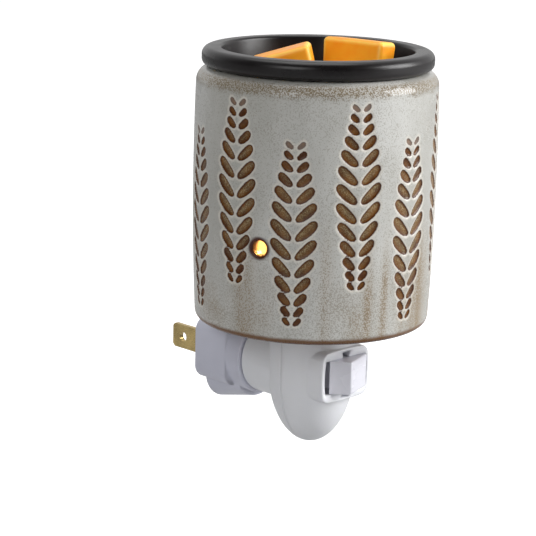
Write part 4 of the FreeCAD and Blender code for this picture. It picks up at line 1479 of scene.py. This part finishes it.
@dataclass
class WaxBlock:
    """One wax melt: a tapered block with rounded edges. Lengths in millimetres, turns in degrees."""

    name: str
    node: str
    size: Point
    place: Point
    turn: float
    lean: float
    lean_axis: str
    edge: float = 1.8
    draft: float = 0.9
    squareness: float = 9.0
    rows: int = 48
    columns: int = 96

    def build(self, wardrobe: Wardrobe, axis: Vector, floor: float) -> bpy.types.Object:
        """Make the block and lay it in the dish.

        A point of a round ball n goes to tanh(k n) / tanh(k) (half - edge) + edge n, which is nearly
        sign(n) (half - edge) + edge n, so the ball becomes a block with rounded edges. x and y then
        shrink a little towards the low end.

        Args:
            wardrobe: the materials.
            axis: the dish's axis.
            floor: height of the dish's floor, in millimetres.

        Returns:
            The dressed piece.
        """
        v = np.linspace(-np.pi / 2, np.pi / 2, self.rows)[:, None]
        u = np.linspace(0, 2 * np.pi, self.columns, endpoint=False)[None] + np.pi / self.columns
        ball = np.stack([np.cos(v) * np.cos(u), np.cos(v) * np.sin(u), np.sin(v) + 0 * u], axis=-1)
        half = np.array(self.size) / 2
        squared = np.tanh(ball * self.squareness) / math.tanh(self.squareness)
        block = squared * (half - self.edge) + self.edge * ball
        share = (block[..., 2:] / half[2] + 1) / 2
        block[..., :2] *= 1 - (1 - share) * self.draft / half[:2]
        block[[0, -1], :, :2] = 0.0
        matrix = (Matrix.Translation(Vector(self.place) + Vector((axis.x / MM, axis.y / MM, floor)))
                  @ Matrix.Rotation(math.radians(self.turn), 4, "Z")
                  @ Matrix.Rotation(math.radians(self.lean), 4, self.lean_axis))
        turn, shift = np.array(matrix.to_3x3()), np.array(matrix.to_translation())
        points = (block @ turn.T + shift) * MM
        piece = make_piece(self.name, points, lattice(self.rows, self.columns))
        local = (places(piece) / MM - shift) @ turn / half
        for label, column in zip(BLOCK_VALUES, local.T):
            add_values(piece, label, column)
        return wardrobe.fit(piece, "dish", "orange_wax", self.node)


WAX_BLOCKS = (
    WaxBlock("wax_melt_left", "left_wax_melt", size=(19.5, 13.0, 15.4), place=(-7.4, 6.5, 10.4),
             turn=-48.0, lean=-17.0, lean_axis="Y"),
    WaxBlock("wax_melt_right", "right_wax_melt", size=(22.4, 9.0, 20.0), place=(15.1, -2.1, 10.6),
             turn=-80.0, lean=-6.0, lean_axis="X"),
)


@dataclass
class Lamp:
    """Glass of the bulb, and the warm light that it gives. Lengths in millimetres."""

    wardrobe: Wardrobe
    radius: float = 11.1
    length: float = 40.0
    thickness: float = 0.7
    shares: tuple[float, ...] = (0.0, 0.2, 0.5, 0.75, 0.93, 1.0)
    widths: tuple[float, ...] = (0.55, 0.84, 0.995, 0.84, 0.5, 0.0)
    crowding: float = 1.8
    softening: int = 5
    rows: int = 40
    columns: int = 96
    power: float = 0.7
    light_radius: float = 7.0
    light_colour: Colour = (1.0, 0.52, 0.14)

    def build(self) -> bpy.types.Object:
        """Turn the glass from a blunt cone's profile and put a light inside it.

        The radius at a share of the length goes straight between the widths and is then averaged over
        a few rows. The rows crowd towards the tip as share = 1 - (1 - t)^crowding.

        Returns:
            The dressed glass.
        """
        low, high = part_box("bulb_glass")
        axis = middle_line(low, high)
        share = 1 - (1 - np.linspace(0, 1, self.rows)) ** self.crowding
        radius = np.pad(np.interp(share, self.shares, self.widths), self.softening // 2, "edge")
        radius = np.convolve(radius, np.ones(self.softening) / self.softening, "valid")
        radius[-1] = 0.0
        outer, inner = (
            np.stack([radius * (self.radius - inset), low.z / MM + share * (self.length - inset)], axis=1)
            for inset in (0.0, self.thickness))
        profile = np.concatenate([outer, inner[::-1]])
        quads = lattice(len(profile), self.columns, wrap_rows=True)
        piece = make_piece("lamp_glass", turned(profile * MM, axis, bearings(self.columns)), quads)
        lamp = bpy.data.lights.new("lamp_light", "POINT")
        lamp.energy = self.power
        lamp.color = self.light_colour
        lamp.shadow_soft_size = self.light_radius * MM
        holder = link("lamp_light", lamp)
        holder.location = (axis.x, axis.y, (low.z + high.z) / 2)
        holder.parent = piece
        return self.wardrobe.fit(piece, "bulb", "bulb_glass", "bulb_glass")


@dataclass
class SmoothSolids:
    """Moulded pieces that show as smooth copies of their solids. Creases in degrees."""

    wardrobe: Wardrobe
    crease: float = 32.0
    rocker_crease: float = 24.0

    def build(self) -> None:
        """Copy and dress both halves of the housing, the rocker and the plug."""
        for name, node, body, slot, crease in (
                ("housing_front", "front_shell", "housing", "white_plastic", self.crease),
                ("housing_rear", "rear_shell", "housing", "white_plastic", self.crease),
                ("switch_rocker", "rocker", "rocker", "rocker_plastic", self.rocker_crease),
                ("plug_moulding", "plug_body", "plug", "plug_plastic", self.crease)):
            self.wardrobe.fit(smooth_copy(name, node, crease), body, slot, node)


@dataclass
class CarriedNodes:
    """The solids that show as they are, each with the material of its record slot."""

    wardrobe: Wardrobe

    def dress(self) -> int:
        """Give every shown solid its material.

        Returns:
            How many solids were dressed.
        """
        slots = {row["node"]: row["material_slot"] for row in frame["record"]["subparts"]}
        shown = {name: solid for name, solid in frame["nodes"].items() if not solid.hide_render}
        for name, solid in shown.items():
            self.wardrobe.wear(solid, slots[name])
        return len(shown)


@dataclass(frozen=True)
class Softbox:
    """One square white lamp. Metres and watts."""

    name: str
    place: Point
    size: float
    power: float
    target: Point = (0.0, -0.04, 0.04)

    def build(self) -> None:
        """Hang the lamp and aim it."""
        light = bpy.data.lights.new(self.name, "AREA")
        light.size = self.size
        light.energy = self.power
        holder = link(self.name, light)
        holder.location = self.place
        aim = Vector(self.target) - Vector(self.place)
        holder.rotation_euler = aim.to_track_quat("-Z", "Y").to_euler()


@dataclass
class Studio:
    """Pale floor, soft light and the camera. Metres and degrees."""

    floor_gap: float = 0.020
    floor_size: float = 8.0
    floor_tone: float = 0.72
    floor_roughness: float = 0.9
    floor_specular: float = 0.1
    floor_glow: float = 0.86
    floor_shine: float = 0.12
    world_light: float = 0.17
    shine_range: Span = (-0.1, 0.7)
    shine: Span = (0.06, 0.75)
    camera_place: Point = (-0.44406, -0.47708, 0.17986)
    azimuth: float = 44.19
    pitch: float = 13.37
    roll: float = 1.42
    focal_px: float = 2047.4
    nearest: float = 0.01
    farthest: float = 50.0
    boxes: tuple[Softbox, ...] = (
        Softbox("key_light", (0.88, -0.97, 0.58), 0.8, 23.5),
        Softbox("fill_light", (-1.30, -0.45, 0.62), 0.8, 6.1),
        Softbox("top_light", (0.1, 0.2, 1.4), 1.0, 9.0),
    )

    def build(self) -> None:
        """Make the floor, the lamps, the world and the camera."""
        self.floor()
        for box in self.boxes:
            box.build()
        self.world()
        self.camera()
        bpy.context.scene.view_settings.view_transform = "Standard"

    def floor(self) -> None:
        """Lay a plain floor under all that the object sweeps, seen from above and clear from below."""
        half, z = self.floor_size / 2, CAD_BOX[0].z - self.floor_gap
        corners = np.array([(-half, -half, z), (half, -half, z), (half, half, z), (-half, half, z)])
        piece = make_piece("floor", corners, np.array([[0, 1, 2, 3]]), closed=False)
        material, nodes, shader = new_material("pale_floor")
        path = nodes.add("LightPath").outputs
        lift = nodes.larger(nodes.larger(path["Is Camera Ray"], path["Is Transmission Ray"]),
                            nodes.times(path["Is Glossy Ray"], self.floor_shine))
        under = nodes.add("NewGeometry").outputs["Backfacing"]
        nodes.fill(shader, Base_Color=linear((self.floor_tone,) * 3), Roughness=self.floor_roughness,
                   Specular_IOR_Level=self.floor_specular, Emission_Color=WHITE,
                   Emission_Strength=nodes.times(lift, self.floor_glow), Alpha=nodes.minus(1.0, under))
        piece.data.materials.append(material)

    def world(self) -> None:
        """Light all round evenly, white to the camera and brighter behind the object to a shine."""
        world = bpy.data.worlds.new("studio")
        world.use_nodes = True
        bpy.context.scene.world = world
        nodes = Nodes(world.node_tree)
        path = nodes.add("LightPath").outputs
        seen = nodes.larger(path["Is Camera Ray"], path["Is Transmission Ray"])
        turn = math.radians(self.azimuth)
        way = nodes.add("VectorMath")
        way.operation = "DOT_PRODUCT"
        nodes.join(way, 0, nodes.add("TexCoord").outputs["Generated"])
        nodes.join(way, 1, (math.sin(turn), math.cos(turn), 0.0))
        behind = nodes.ramp(way.outputs["Value"], *self.shine_range, *self.shine)
        even = nodes.mix(path["Is Glossy Ray"], (*(self.world_light,) * 3, 1.0), behind)
        nodes.join(world.node_tree.nodes["Background"], "Color", nodes.mix(seen, even, WHITE))

    def camera(self) -> None:
        """Set the camera from its azimuth, pitch and roll."""
        a, p, r = (math.radians(v) for v in (self.azimuth, self.pitch, self.roll))
        ahead = Vector((math.sin(a) * math.cos(p), math.cos(a) * math.cos(p), -math.sin(p)))
        right = Vector((math.cos(a), -math.sin(a), 0.0))
        up = right.cross(ahead)
        side = right * math.cos(r) + up * math.sin(r)
        head = up * math.cos(r) - right * math.sin(r)
        data = bpy.data.cameras.new("view")
        data.sensor_width = SENSOR_WIDTH
        data.lens = self.focal_px / IMAGE_WIDTH_PX * SENSOR_WIDTH
        data.clip_start = self.nearest
        data.clip_end = self.farthest
        holder = link("view", data)
        holder.matrix_world = Matrix.Translation(self.camera_place) @ Matrix(
            (side, head, -ahead)).transposed().to_4x4()
        bpy.context.scene.camera = holder


def main() -> None:
    """Build the dressed model piece by piece, then the studio round it."""
    logging.basicConfig(level=logging.INFO, format="%(name)s: %(message)s")
    wardrobe = Wardrobe()
    Shade(wardrobe).build()
    dish = Dish(wardrobe)
    dish.build()
    for block in WAX_BLOCKS:
        block.build(wardrobe, dish.axis, dish.top - dish.depth)
    Lamp(wardrobe).build()
    SmoothSolids(wardrobe).build()
    log.info("%d solids dressed", CarriedNodes(wardrobe).dress())
    Studio().build()


if __name__ == "__main__":
    main()
